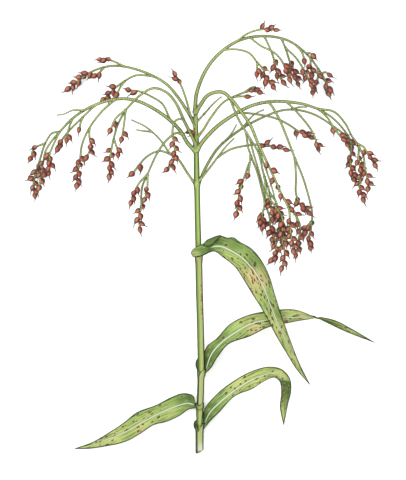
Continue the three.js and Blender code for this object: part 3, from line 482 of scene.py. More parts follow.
@dataclass
class Surface:
    """The points, lines, faces and named values of a mesh while it is built."""

    points: list[Vector] = field(default_factory=list)
    lines: list[tuple[int, int]] = field(default_factory=list)
    faces: list[tuple[int, ...]] = field(default_factory=list)
    values: dict[str, list[float | Vector]] = field(default_factory=dict)

    def add(self, point: Vector, **values: float | Vector) -> int:
        """Adds a point.

        Args:
            point: Its place in millimetres.
            **values: Numbers and directions that the materials or node trees read by name.

        Returns:
            The point's index.
        """
        self.points.append(point)
        for name, value in values.items():
            self.values.setdefault(name, []).append(value)
        return len(self.points) - 1

    def join_rings(self, rings: Sequence[Ring]) -> None:
        """Joins each ring to the next one with faces.

        Args:
            rings: Rings of as many points each, or of one point where the form comes to a point.
        """
        for low, high in zip(rings, rings[1:]):
            count = max(len(low), len(high))
            for k in range(count):
                after = (k + 1) % count
                if len(low) == 1:
                    self.faces.append((low[0], high[after], high[k]))
                elif len(high) == 1:
                    self.faces.append((low[k], low[after], high[0]))
                else:
                    self.faces.append((low[k], low[after], high[after], high[k]))

    @classmethod
    def sheet(cls, rows: Iterable[Sequence[Spot]]) -> "Surface":
        """Builds a thin closed sheet.

        Args:
            rows: Rows of spots across the sheet, from one end to the other.

        Returns:
            Its surface.
        """
        surface = cls()
        rings: list[list[int]] = []
        for row in rows:
            tops = [surface.add(top, **numbers) for top, _, numbers, _ in row]
            bottoms = [surface.add(low, **{**numbers, "shade": shade}) for _, low, numbers, shade in row]
            rings.append(tops + bottoms[::-1])
        surface.join_rings(rings)
        for ring, turned in ((rings[0], False), (rings[-1], True)):
            for k in range(len(ring) // 2 - 1):
                face = (ring[k + 1], ring[k], ring[-1 - k], ring[-2 - k])
                surface.faces.append(face[::-1] if turned else face)
        return surface

    def volume(self) -> float:
        """Measures the enclosed volume.

        Returns:
            The volume, negative where the faces point inwards.
        """
        total = 0.0
        for first, *others in self.faces:
            for one, other in zip(others, others[1:]):
                total += self.points[first].dot(self.points[one].cross(self.points[other])) / 6
        return total

    def to_object(self, name: str) -> Object:
        """Makes the mesh and its object, smooth and with its faces outward.

        Args:
            name: Name of the piece.

        Returns:
            The new object, at the origin.
        """
        mesh = bpy.data.meshes.new(name)
        faces = [face[::-1] for face in self.faces] if self.volume() < 0 else self.faces
        mesh.from_pydata([point * MM for point in self.points], self.lines, faces)
        for key, values in self.values.items():
            if isinstance(values[0], Vector):
                flat = [part for value in values for part in value]
                mesh.attributes.new(key, "FLOAT_VECTOR", "POINT").data.foreach_set("vector", flat)
            else:
                mesh.attributes.new(key, "FLOAT", "POINT").data.foreach_set("value", values)
        mesh.polygons.foreach_set("use_smooth", [True] * len(mesh.polygons))
        mesh.update()
        made = bpy.data.objects.new(name, mesh)
        bpy.context.scene.collection.objects.link(made)
        return made


class NodeBook:
    """Short calls that add and join the nodes of one tree."""

    def __init__(self, tree: NodeTree) -> None:
        """Works on the given tree."""
        self.tree = tree

    def add(self, kind: str, inputs: Inputs | None = None, **settings: object) -> Node:
        """Adds a node.

        Args:
            kind: The node's type name.
            inputs: What its inputs get.
            **settings: Its other properties.

        Returns:
            The new node.
        """
        node = self.tree.nodes.new(kind)
        for name, value in settings.items():
            setattr(node, name, value)
        for name, value in (inputs or {}).items():
            self.feed(node.inputs[name], value)
        return node

    def out(self, kind: str, inputs: Inputs | None = None, **settings: object) -> Socket:
        """Adds a node and returns its first output."""
        return self.add(kind, inputs, **settings).outputs[0]

    def feed(self, socket: Socket, value: object) -> None:
        """Gives an input a value, or joins it to an output.

        Args:
            socket: The input.
            value: Its value, or the output.
        """
        if isinstance(value, Socket):
            self.tree.links.new(value, socket)
        else:
            socket.default_value = value

    def math(self, operation: str, one: object, other: object = 0.0, third: object = 0.0) -> Socket:
        """Returns the outcome of a sum on up to three values."""
        return self.out("ShaderNodeMath", {0: one, 1: other, 2: third}, operation=operation)

    def times(self, *values: object) -> Socket:
        """Returns the product of all the values."""
        return reduce(lambda one, other: self.math("MULTIPLY", one, other), values)

    def attribute(self, name: str) -> Socket:
        """Returns a named number of the piece."""
        return self.add("ShaderNodeAttribute", attribute_name=name).outputs["Fac"]

    def place(self, x: object, y: object) -> Socket:
        """Returns a place on a flat pattern."""
        return self.out("ShaderNodeCombineXYZ", {0: x, 1: y, 2: 0.0})

    def object_place(self) -> Socket:
        """Returns the place on the piece in metres."""
        return self.add("ShaderNodeTexCoord").outputs["Object"]

    def step(self, value: Socket, low: object, high: object, start: float = 0, end: float = 1) -> Socket:
        """Returns a value that goes smoothly from start to end between low and high."""
        inputs = {"Value": value, "From Min": low, "From Max": high, "To Min": start, "To Max": end}
        return self.out("ShaderNodeMapRange", inputs, interpolation_type="SMOOTHSTEP")

    def mix(self, share: object, one: Point | Socket, other: Point | Socket) -> Socket:
        """Returns two colours mixed by a share."""
        pair = [colour(paint) if isinstance(paint, tuple) else paint for paint in (one, other)]
        return self.add("ShaderNodeMix", {0: share, 6: pair[0], 7: pair[1]}, data_type="RGBA").outputs[2]

    def layers(self, base: Point | Socket, *layers: tuple[Point | Socket, Socket, float]) -> Socket:
        """Returns a colour painted over in layers, each a paint, where it shows and how strongly."""
        return reduce(lambda under, layer: self.mix(self.times(*layer[1:]), under, layer[0]), layers, base)

    def group(self, tree: NodeTree, **inputs: object) -> Node:
        """Adds a shared effect, with its inputs given by name."""
        named = {name.capitalize(): value for name, value in inputs.items()}
        return self.add("ShaderNodeGroup", named, node_tree=tree)


def new_effect(
    name: str, inputs: Sequence[str], outputs: Sequence[str]
) -> tuple[NodeBook, NodeOutputs, NodeInputs]:
    """Starts a shared shader effect.

    Args:
        name: Name of the effect.
        inputs: Names of its inputs, which are numbers unless one is the Vector.
        outputs: Names of the numbers that it puts out.

    Returns:
        The book of its tree, the sockets that bring its inputs and the ones that take its outputs.
    """
    tree = bpy.data.node_groups.new(name, "ShaderNodeTree")
    for key in inputs:
        kind = "NodeSocketVector" if key == "Vector" else "NodeSocketFloat"
        tree.interface.new_socket(key, in_out="INPUT", socket_type=kind)
    for key in outputs:
        tree.interface.new_socket(key, in_out="OUTPUT", socket_type="NodeSocketFloat")
    book = NodeBook(tree)
    return book, book.add("NodeGroupInput").outputs, book.add("NodeGroupOutput").inputs


def make_streaks() -> NodeTree:
    """Makes the effect of fine fibres that run along a stem or a leaf.

    Returns:
        The effect, with a value from 0 to 1 put out as Fibres.
    """
    book, start, end = new_effect("Fibre streaks", ("Across", "Along", "Fineness"), ("Fibres",))
    along = book.times(start["Along"], FIBRE_STRETCH)
    where = book.place(book.times(start["Across"], start["Fineness"]), along)
    noise = book.out("ShaderNodeTexNoise", {"Vector": where, "Scale": 1.0, "Detail": 3.0, "Roughness": 0.6})
    book.feed(end["Fibres"], book.step(noise, 0.3, 0.7))
    return book.tree


def make_spots() -> NodeTree:
    """Makes the effect of small long spots scattered over a leaf.

    Returns:
        The effect, which puts out the spots as Core and the pale rings round them as Halo.
    """
    book, start, end = new_effect("Leaf spots", ("Across", "Along", "Spacing", "Density"), ("Core", "Halo"))
    pace = book.math("DIVIDE", 1.0, start["Spacing"])
    where = book.place(book.times(start["Across"], pace), book.times(start["Along"], pace, SPOT_STRETCH))
    wobble = book.out("ShaderNodeTexNoise", {"Vector": where, "Scale": 1.7, "Detail": 2.0})
    shift = book.times(book.math("SUBTRACT", wobble, 0.5), 0.55)
    cell = book.add("ShaderNodeTexVoronoi", {"Vector": where, "Scale": 1.0, "Randomness": 1.0})
    parts = book.add("ShaderNodeSeparateColor", {0: cell.outputs["Color"]})
    chosen = book.math("LESS_THAN", parts.outputs[0], start["Density"])
    size = book.math("MULTIPLY_ADD", parts.outputs[1], 0.2, 0.23)
    distance = book.math("ADD", cell.outputs["Distance"], shift)
    for name, softness in {"Core": 0.08, "Halo": 0.34}.items():
        spot = book.step(distance, size, book.math("ADD", size, softness), 1.0, 0.0)
        book.feed(end[name], book.times(spot, chosen))
    return book.tree


def make_drift() -> NodeTree:
    """Makes the effect of a colour that drifts slowly over a piece.

    Returns:
        The effect, with a value from 0 to 1 put out as Drift.
    """
    book, start, end = new_effect("Tone drift", ("Vector", "Size"), ("Drift",))
    pace = book.math("DIVIDE", 1 / MM, start["Size"])
    inputs = {"Vector": start["Vector"], "Scale": pace, "Detail": 2.0, "Roughness": 0.5}
    book.feed(end["Drift"], book.step(book.out("ShaderNodeTexNoise", inputs), 0.32, 0.68))
    return book.tree


@dataclass
class Effects:
    """The shader effects that several finishes share."""

    streaks: NodeTree = field(default_factory=make_streaks)
    spots: NodeTree = field(default_factory=make_spots)
    drift: NodeTree = field(default_factory=make_drift)


def new_material(name: str, roughness: float, gloss: float) -> tuple[Material, Node]:
    """Starts a material on one Principled shader.

    Args:
        name: Name of the finish.
        roughness: Its roughness, 0 to 1.
        gloss: How strongly it reflects, where 0.5 is usual.

    Returns:
        The material and its shader.
    """
    material = bpy.data.materials.new(name)
    material.use_nodes = True
    shader = material.node_tree.nodes["Principled BSDF"]
    shader.inputs["Roughness"].default_value = roughness
    shader.inputs["Specular IOR Level"].default_value = gloss
    return material, shader


@dataclass(frozen=True)
class Finish:
    """A finish of the stalk. Each kind of finish paints its own colour and relief."""

    name: str
    roughness: float = 0.55
    gloss: float = 0.12
    relief: float = 0.1

    def build(self, effects: Effects) -> Material:
        """Makes the material.

        Args:
            effects: The shared effects.

        Returns:
            The finished material.
        """
        material, shader = new_material(self.name, self.roughness, self.gloss)
        book = NodeBook(material.node_tree)
        base, height = self.paint(book, effects)
        bump = {"Strength": 1.0, "Distance": self.relief * MM, "Height": height}
        book.feed(shader.inputs["Base Color"], base)
        book.feed(shader.inputs["Normal"], book.out("ShaderNodeBump", bump))
        return material

    def paint(self, book: NodeBook, effects: Effects) -> tuple[Socket, Socket]:
        """Returns the colour and the height of the relief, which each kind of finish makes its own way."""
        raise NotImplementedError


@dataclass(frozen=True)
class StemFinish(Finish):
    """Green stem: a pale crest of painted highlight, darker flanks, painted shade beneath, a dark outline
    of painted shade at its sides, slanting ticks and light knots.
    """

    relief: float = 0.05
    # Painted light from above: crest is a painted highlight where the stem faces up, under is painted shade
    # where it faces down, and outline is a dark outline of painted shade at its sides
    crest: Point = (222, 238, 154)
    flank: Point = (96, 118, 48)
    under: Point = (104, 126, 54)
    knot: Point = (218, 234, 150)
    outline: Point = (42, 56, 24)
    lit: Band = (0.5, 0.9)
    painted_shade_beneath: Band = (-0.1, -0.8)
    edge: Band = (0.88, 0.6)
    edge_end: Band = (-0.75, -0.35)
    tick_pace: float = 3.6
    tick_slant: float = 2.2
    tick_wander: float = 9.0

    def paint(self, book: NodeBook, effects: Effects) -> tuple[Socket, Socket]:
        """Paints the stem.

        Args:
            book: The book of the material's tree.
            effects: The shared effects.

        Returns:
            Its colour and the height of its relief.
        """
        crest, flank, along = map(book.attribute, ("crest", "flank", "along"))
        fibres = book.group(effects.streaks, across=flank, along=along, fineness=7.0).outputs[0]
        drift = book.group(effects.drift, vector=book.object_place(), size=14.0).outputs[0]
        # Painted shade as a dark outline on the sides, which face neither up nor down
        painted_side_shade = book.times(book.step(crest, *self.edge), book.step(crest, *self.edge_end))
        # Painted highlight on the crest and painted shade beneath, for light that falls from above
        base = book.layers(
            self.flank,
            (self.crest, book.step(crest, *self.lit), 1.0),
            (self.under, book.step(crest, *self.painted_shade_beneath), 1.0),
            (self.flank, self.ticks(book, along, flank), 0.9),
            (self.flank, fibres, 0.35),
            (self.flank, drift, 0.2),
            (self.knot, book.attribute("knot"), 0.6),
            (self.outline, painted_side_shade, 1.0),
        )
        return base, fibres

    def ticks(self, book: NodeBook, along: Socket, flank: Socket) -> Socket:
        """Makes short slanting ticks along the stem.

        Args:
            book: The book of the material's tree.
            along: Distance along the stem.
            flank: Place across it, from -1 to 1.

        Returns:
            A value from 0 to 1.
        """
        noise = book.out("ShaderNodeTexNoise", {"Vector": book.place(along, flank), "Scale": 0.35})
        phase = book.math("MULTIPLY_ADD", flank, self.tick_slant, book.times(along, self.tick_pace))
        phase = book.math("MULTIPLY_ADD", noise, self.tick_wander, phase)
        return book.step(book.math("SINE", phase), 0.0, 0.9)


@dataclass(frozen=True)
class LeafFinish(Finish):
    """Green blade: white midrib, fine veins, yellow and buff stretches, brown spots and a dark margin."""

    relief: float = 0.12
    green: Point = (160, 194, 106)
    yellow: Point = (218, 230, 138)
    buff: Point = (230, 216, 150)
    shade: Point = (84, 116, 48)
    vein: Point = (72, 98, 42)
    midrib: Point = (236, 246, 222)
    margin: Point = (50, 66, 38)
    rust: Point = (134, 62, 42)
    olive: Point = (78, 84, 42)
    spot_spacing: float = 2.5
    rib_width: float = 0.42
    margin_band: Band = (1.2, 0.68)
    rusting: Band = (0.12, 0.45)

    def paint(self, book: NodeBook, effects: Effects) -> tuple[Socket, Socket]:
        """Paints the blade.

        Args:
            book: The book of the material's tree.
            effects: The shared effects.

        Returns:
            Its colour and the height of its relief.
        """
        across, along, inset, buff = map(book.attribute, ("across", "along", "inset", "buff"))
        fine = book.group(effects.streaks, across=across, along=along, fineness=2.0).outputs[0]
        broad = book.group(effects.streaks, across=across, along=along, fineness=0.95).outputs[0]
        drift = book.group(effects.drift, vector=book.object_place(), size=16.0).outputs[0]
        yellowing = book.math("MULTIPLY_ADD", broad, -0.3, book.attribute("yellow"))
        lines = book.math("MAXIMUM", book.step(fine, 0.55, 1.05), book.step(broad, 0.55, 0.85))
        density = book.attribute("spots")
        spacing = self.spot_spacing
        spots = book.group(effects.spots, across=across, along=along, spacing=spacing, density=density)
        away = book.math("ABSOLUTE", across)
        strength = book.attribute("rib_strength")
        width = book.times(book.attribute("rib"), self.rib_width)
        near, close, far = (book.math("ADD", width, more) for more in (0.25, 0.30, 0.9))
        base = book.layers(
            self.green,
            (self.yellow, book.math("ADD", yellowing, 0.3), 1.0),
            (self.shade, drift, 0.22),
            (self.buff, buff, 1.0),
            (self.shade, book.attribute("shade"), 1.0),
            (self.vein, book.times(lines, book.step(inset, 7.0, 0.5, 0.45, 0.85)), 1.0),
            (self.buff, spots.outputs["Halo"], 0.4),
            (book.mix(book.step(buff, *self.rusting), self.olive, self.rust), spots.outputs["Core"], 0.9),
            (self.vein, book.times(book.step(away, near, far, 0.5, 0.0), strength), 1.0),
            (self.midrib, book.times(book.step(away, width, close, 1.0, 0.0), strength), 1.0),
            (self.margin, book.step(inset, *self.margin_band), 1.0),
        )
        return base, fine


@dataclass(frozen=True)
class SheathFinish(Finish):
    """Leaf sheath or culm: a dark outline of painted shade at both sides, left, middle and right colours,
    where the green left is painted shade and the pale middle painted highlight, and a seam down its face.
    """

    # For a sheath: left is green with painted shade, middle a pale painted highlight, right the sheath's
    # own buff; outline is painted shade at the sides, beside the seam and by the shade number, and the
    # seam's own dark line
    outline: Point = (48, 60, 30)
    left: Point = (124, 150, 70)
    middle: Point = (196, 212, 126)
    right: Point = (214, 210, 152)
    bare: Point = (240, 242, 224)
    mouth: Point = (224, 194, 162)
    fleck: Point = (140, 66, 48)
    shift: float = 0.0
    left_shade_edge: Band = (-0.6, -0.8)
    right_shade_edge: Band = (0.64, 0.82)

    def paint(self, book: NodeBook, effects: Effects) -> tuple[Socket, Socket]:
        """Paints the sheath.

        Args:
            book: The book of the material's tree.
            effects: The shared effects.

        Returns:
            Its colour and the height of its relief.
        """
        flank, along, seam = map(book.attribute, ("flank", "along", "seam"))
        ribs = book.group(effects.streaks, across=flank, along=along, fineness=4.0).outputs[0]
        density = book.attribute("spots")
        across = book.times(flank, 3.0)
        spots = book.group(effects.spots, across=across, along=along, spacing=1.5, density=density)
        place = book.math("ADD", flank, self.shift)
        # Beside the seam: a pale band of painted highlight on the overlapping margin, and painted shade
        # where the other tucks under
        beside = book.times(book.step(seam, 1.3, 0.5), book.step(seam, -0.05, 0.1))
        tucked_shade = book.times(book.step(seam, -2.2, -0.8), book.step(seam, -0.2, -0.5))
        # Across the face: green on the left as painted shade, a pale middle of painted highlight, the right
        # colour, and green towards the right edge as painted shade; the outline colour paints shade at both
        # sides
        base = book.layers(
            self.left,
            (self.middle, book.step(place, -0.55, 0.0), 1.0),
            (self.right, book.step(place, 0.2, 0.5), 1.0),
            (self.left, book.step(place, 0.5, 0.75), 1.0),
            (self.left, ribs, 0.42),
            (self.mouth, book.attribute("mouth"), 1.0),
            (self.bare, book.attribute("bare"), 1.0),
            (self.fleck, spots.outputs["Core"], 0.8),
            (self.bare, beside, 0.6),
            (self.outline, tucked_shade, 0.55),
            (self.outline, book.step(book.math("ABSOLUTE", seam), 0.52, 0.22), 0.9),
            (self.outline, book.step(flank, *self.left_shade_edge), 1.0),
            (self.outline, book.step(flank, *self.right_shade_edge), 1.0),
            (self.outline, book.attribute("shade"), 1.0),
        )
        return base, ribs


@dataclass(frozen=True)
class PithFinish(Finish):
    """The cut foot: whitish pith with darker bundles of fibre and a green rind."""

    roughness: float = 0.85
    gloss: float = 0.2
    relief: float = 0.2
    pith: Point = (232, 228, 200)
    bundle: Point = (170, 158, 112)
    rind: Point = (150, 160, 92)
    bundles_per_mm: float = 0.9

    def paint(self, book: NodeBook, effects: Effects) -> tuple[Socket, Socket]:
        """Paints the pith.

        Args:
            book: The book of the material's tree.
            effects: The shared effects.

        Returns:
            Its colour and the height of its relief.
        """
        where = book.object_place()
        inputs = {"Vector": where, "Scale": self.bundles_per_mm / MM, "Randomness": 1.0}
        distance = book.add("ShaderNodeTexVoronoi", inputs).outputs["Distance"]
        drift = book.group(effects.drift, vector=where, size=3.0).outputs[0]
        dots = book.step(distance, 0.2, 0.45, 1.0, 0.0)
        rind = (self.rind, book.attribute("rim"), 1.0)
        return book.layers(self.pith, (self.bundle, dots, 0.7), (self.bundle, drift, 0.3), rind), dots


@dataclass(frozen=True)
class SpikeletFinish(Finish):
    """Spikelet: a salmon painted highlight on its face towards one side, painted shade on the other side,
    a dark maroon outline of painted shade at its edges, and dark maroon at its tip and foot.
    """

    roughness: float = 0.42
    gloss: float = 0.3
    relief: float = 0.08
    # light is a painted highlight, tan its tone on some spikelets; shade is painted shade on the side
    # turned away from the highlight; deep is a dark outline of painted shade at the sides, and the darker
    # tip and foot
    light: Point = (230, 152, 108)
    tan: Point = (212, 176, 124)
    dark: Point = (148, 48, 38)
    shade: Point = (98, 30, 26)
    deep: Point = (48, 17, 15)
    awn: Point = (56, 42, 32)
    tanned: Band = (0.78, 1.0)
    shining: Band = (0.6, 0.97)
    painted_shade_side: Band = (0.7, -0.1)
    edge: Band = (0.96, 0.42)

    def paint(self, book: NodeBook, effects: Effects) -> tuple[Socket, Socket]:
        """Paints the spikelet.

        Args:
            book: The book of the material's tree.
            effects: The shared effects.

        Returns:
            Its colour and the height of its relief.
        """
        ridge, shine, along, tone = map(book.attribute, ("ridge", "shine", "along", "tone"))
        fibres = book.group(effects.streaks, across=shine, along=book.times(along, 9.0), fineness=6.0)
        # middle: where the painted highlight shows, on the face towards one side and away from the ends
        middle = book.times(
            book.step(shine, *self.shining),
            book.step(along, 0.08, 0.34),
            book.step(along, 0.86, 0.5),
            book.step(tone, -1.0, 0.6, 0.5, 1.0),
        )
        # Painted shade on the side turned away, the painted highlight, a dark outline of painted shade at
        # the sides, and a darker tip and foot
        base = book.layers(
            self.dark,
            (self.shade, book.step(shine, *self.painted_shade_side), 1.0),
            (book.mix(book.step(tone, *self.tanned), self.light, self.tan), middle, 1.0),
            (self.dark, fibres.outputs[0], 0.3),
            (self.deep, book.step(ridge, *self.edge), 1.0),
            (self.deep, book.step(along, 0.66, 0.92), 0.9),
            (self.deep, book.step(along, 0.14, 0.0), 0.7),
            (self.awn, book.attribute("awn"), 1.0),
        )
        return base, fibres.outputs[0]


class Finishes:
    """Every material of the stalk."""

    def __init__(self, effects: Effects) -> None:
        """Makes the materials.

        Args:
            effects: The shared effects.
        """
        self.branch = StemFinish("branch").build(effects)
        # The culm's colours paint light across it: green on the left as painted shade, a pale middle of
        # painted highlight, and green again towards the right edge as painted shade
        self.culm = SheathFinish(
            name="culm",
            outline=(42, 58, 24),
            left=(118, 154, 70),
            middle=(206, 226, 126),
            right=(138, 174, 78),
            mouth=(206, 222, 142),
            shift=-0.06,
        ).build(effects)
        self.pith = PithFinish("pith").build(effects)
        self.spikelet = SpikeletFinish("spikelet").build(effects)
        self.blade = LeafFinish("blade").build(effects)
        self.sheath = SheathFinish("sheath").build(effects)


class GrowthTree:
    """A geometry node tree that grows a piece from its lines or points."""

    def __init__(self, name: str, inputs: dict[str, str]) -> None:
        """Starts the tree.

        Args:
            name: Name of the tree.
            inputs: Kind of each of its own inputs, by name.
        """
        self.tree = bpy.data.node_groups.new(name, "GeometryNodeTree")
        panel = self.tree.interface
        self.identifiers: dict[str, str] = {}
        for key, kind in {"Geometry": "Geometry", "Finish": "Material", **inputs}.items():
            socket = panel.new_socket(key, in_out="INPUT", socket_type=f"NodeSocket{kind}")
            self.identifiers[key] = socket.identifier
        panel.new_socket("Geometry", in_out="OUTPUT", socket_type="NodeSocketGeometry")
        self.book = NodeBook(self.tree)
        self.start = self.book.add("NodeGroupInput").outputs

    def named(self, name: str, kind: str = "FLOAT") -> Socket:
        """Returns a named value of the points."""
        return self.book.out("GeometryNodeInputNamedAttribute", {"Name": name}, data_type=kind)

    def store(self, geometry: Socket, name: str, value: Socket, domain: str = "POINT") -> Socket:
        """Returns the geometry with a number kept under a name."""
        inputs = {"Geometry": geometry, "Name": name, "Value": value}
        return self.book.out("GeometryNodeStoreNamedAttribute", inputs, data_type="FLOAT", domain=domain)

    def close(self, geometry: Socket) -> None:
        """Ends the tree in plain geometry that wears its finish.

        Args:
            geometry: The grown geometry.
        """
        real = self.book.out("GeometryNodeRealizeInstances", {0: geometry})
        dressed = self.book.out("GeometryNodeSetMaterial", {0: real, "Material": self.start["Finish"]})
        self.book.feed(self.book.add("NodeGroupOutput").inputs[0], dressed)

    def grow(self, piece: Object, settings: dict[str, object]) -> None:
        """Runs a piece through the tree and keeps the outcome as its plain mesh.

        Args:
            piece: The object to turn into its finished mesh.
            settings: Value of each input by its name.
        """
        modifier = piece.modifiers.new("Growth", "NODES")
        modifier.node_group = self.tree
        for name, value in settings.items():
            modifier[self.identifiers[name]] = value
        graph = bpy.context.evaluated_depsgraph_get()
        grown = piece.evaluated_get(graph)
        mesh = bpy.data.meshes.new_from_object(grown, preserve_all_data_layers=True, depsgraph=graph)
        piece.modifiers.clear()
        mesh.name = piece.name
        piece.data = mesh


class StemTree(GrowthTree):
    """Geometry nodes that turn the lines of limbs into round, tapering stems."""

    def __init__(self) -> None:
        """Builds the tree. Its section knows how far each of its points stands aside."""
        super().__init__("Stems", {"Sides": "Int"})
        book = self.book
        route = book.out("GeometryNodeMeshToCurve", {"Mesh": self.start["Geometry"]})
        upright = book.out("GeometryNodeSetCurveNormal", {"Curve": route}, mode="Z_UP")
        sides = {"Resolution": self.start["Sides"], "Radius": 1.0}
        circle = book.out("GeometryNodeCurvePrimitiveCircle", sides)
        turn = book.times(book.add("GeometryNodeSplineParameter").outputs["Factor"], math.tau)
        section = self.store(circle, "flank", book.math("COSINE", turn))
        inputs = {"Curve": upright, "Profile Curve": section, "Fill Caps": True}
        swept = book.out("GeometryNodeCurveToMesh", {**inputs, "Scale": self.named("thickness")})
        smooth = book.out("GeometryNodeSetShadeSmooth", {0: swept})
        # crest: how far the surface faces up, against how far its branch can; the finish paints highlight
        # and shade by it
        parts = book.add("ShaderNodeSeparateXYZ", {0: book.out("GeometryNodeInputNormal")})
        height = book.math("DIVIDE", parts.outputs[2], self.named("level"))
        self.close(self.store(smooth, "crest", height))


class SpikeletTree(GrowthTree):
    """Geometry nodes that stand spikelets on the points of a spray."""

    def __init__(self, forms: Sequence[Object]) -> None:
        """Builds the tree.

        Args:
            forms: The forms of spikelet that it chooses from.
        """
        super().__init__("Spikelets", {"Seed": "Int", **{form.name: "Object" for form in forms}})
        self.forms = {form.name: form for form in forms}
        book = self.book
        join = book.add("GeometryNodeJoinGeometry")
        for name in self.forms:
            info = book.add("GeometryNodeObjectInfo", {"Object": self.start[name], "As Instance": True})
            book.feed(join.inputs[0], info.outputs["Geometry"])
        axes = {
            "Primary Axis": self.named("heading", "FLOAT_VECTOR"),
            "Secondary Axis": self.named("facing", "FLOAT_VECTOR"),
        }
        inputs = {
            "Points": self.start["Geometry"],
            "Instance": join.outputs[0],
            "Pick Instance": True,
            "Instance Index": self.random("INT", 0, len(forms) - 1, self.start["Seed"]),
            "Rotation": book.out("FunctionNodeAxesToRotation", axes),
            "Scale": self.named("size"),
        }
        stand = book.out("GeometryNodeInstanceOnPoints", inputs)
        tone = self.random("FLOAT", -1.0, 1.0, book.math("ADD", self.start["Seed"], 7.0))
        self.close(self.store(stand, "tone", tone, "INSTANCE"))

    def random(self, kind: str, low: float, high: float, seed: Socket) -> Socket:
        """Adds a random number for each point.

        Args:
            kind: INT for a whole number, FLOAT for any number.
            low: The least that it can be.
            high: The most.
            seed: The seed.

        Returns:
            The number.
        """
        node = self.book.add("FunctionNodeRandomValue", {"Seed": seed}, data_type=kind)
        own = "VALUE" if kind == "FLOAT" else kind
        for socket in node.inputs:
            if socket.type == own and socket.name in ("Min", "Max"):
                socket.default_value = low if socket.name == "Min" else high
        return next(out for out in node.outputs if out.type == own)


def hand_over(piece: Object, node: str, finish: Material | None = None) -> None:
    """Lets a finished piece stand for a node of the frame.

    Args:
        piece: The finished piece, at the origin.
        node: Name of the node that it stands for.
        finish: Its material, where the mesh has none yet.
    """
    if finish is not None:
        piece.data.materials.append(finish)
    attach(piece, BODY)
    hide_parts(node)
    log.info("%s has %d faces", piece.name, len(piece.data.polygons))


@dataclass
class SpikeletForm:
    """One form of spikelet: a plump pod with a pointed tip that ends in a bent awn.

    It stands on the origin along +Z, faces +X and is widest along Y.
    """

    name: str
    length: float = 7.0
    width: float = 4.5
    depth: float = 4.0
    foot: float = 0.2
    tip_lean: float = 0.0
    awn: float = 2.4
    awn_lean: float = 1.0
    awn_root: float = 0.95
    awn_steps: int = 2
    bristle: float = 0.55
    bristle_taper: float = 0.55
    # shine_turn turns the shine number, by which the finish paints its highlight and shade, towards one
    # side; pole_shine is that number at the tip and foot
    shine_turn: float = 0.42
    pole_shine: float = 0.3
    sides: int = 8
    rings: tuple[tuple[float, float], ...] = (
        (0.0, 0.0), (0.07, 0.5), (0.25, 0.92), (0.46, 1.0), (0.68, 0.74), (0.88, 0.26), (1.0, 0.0),
    )

    def build(self) -> Object:
        """Makes the form.

        Returns:
            Its object, which the node tree repeats.
        """
        surface = Surface()
        surface.join_rings([self.pod_ring(surface, share, fullness) for share, fullness in self.rings])
        rings = [self.awn_ring(surface, step / self.awn_steps) for step in range(self.awn_steps + 1)]
        surface.join_rings(rings)
        surface.faces += [tuple(rings[0][::-1]), tuple(rings[-1])]
        return surface.to_object(self.name)

    def pod_ring(self, surface: Surface, share: float, fullness: float) -> list[int]:
        """Adds a ring of the pod.

        Args:
            surface: The surface to add to.
            share: Its place from the foot to the tip, 0 to 1.
            fullness: Its size, 0 to 1, where 0 makes it one point.

        Returns:
            The indices of its points.
        """
        ring: list[int] = []
        for angle in angles(self.sides) if fullness else [0.0]:
            front = fullness * self.depth / 2 * math.cos(angle)
            aside = fullness * self.width / 2 * math.sin(angle) + self.tip_lean * share * share
            # ridge falls to 0 at the sides, where the finish paints a dark outline of shade; shine is
            # highest towards one side, for the painted highlight
            ridge = abs(math.cos(angle)) if fullness else self.pole_shine
            shine = math.cos(angle - self.shine_turn) if fullness else self.pole_shine
            point = Vector((front, aside, self.foot + share * self.length))
            ring.append(surface.add(point, ridge=ridge, shine=shine, along=share, awn=0.0))
        return ring

    def awn_ring(self, surface: Surface, share: float) -> list[int]:
        """Adds a ring of the awn, which leaves the tip and bends aside.

        Args:
            surface: The surface to add to.
            share: Its place along the awn, 0 to 1.

        Returns:
            The indices of its points.
        """
        radius = self.bristle * blend(1.0, self.bristle_taper, share)
        bend = self.awn_lean * share * share
        height = self.length * self.awn_root + self.awn * share
        ring: list[int] = []
        for angle in angles(3):
            aside = self.tip_lean + bend + radius * math.sin(angle)
            point = Vector((0.5 * bend + radius * math.cos(angle), aside, height))
            ring.append(surface.add(point, ridge=0.0, shine=0.0, along=1.0, awn=1.0))
        return ring


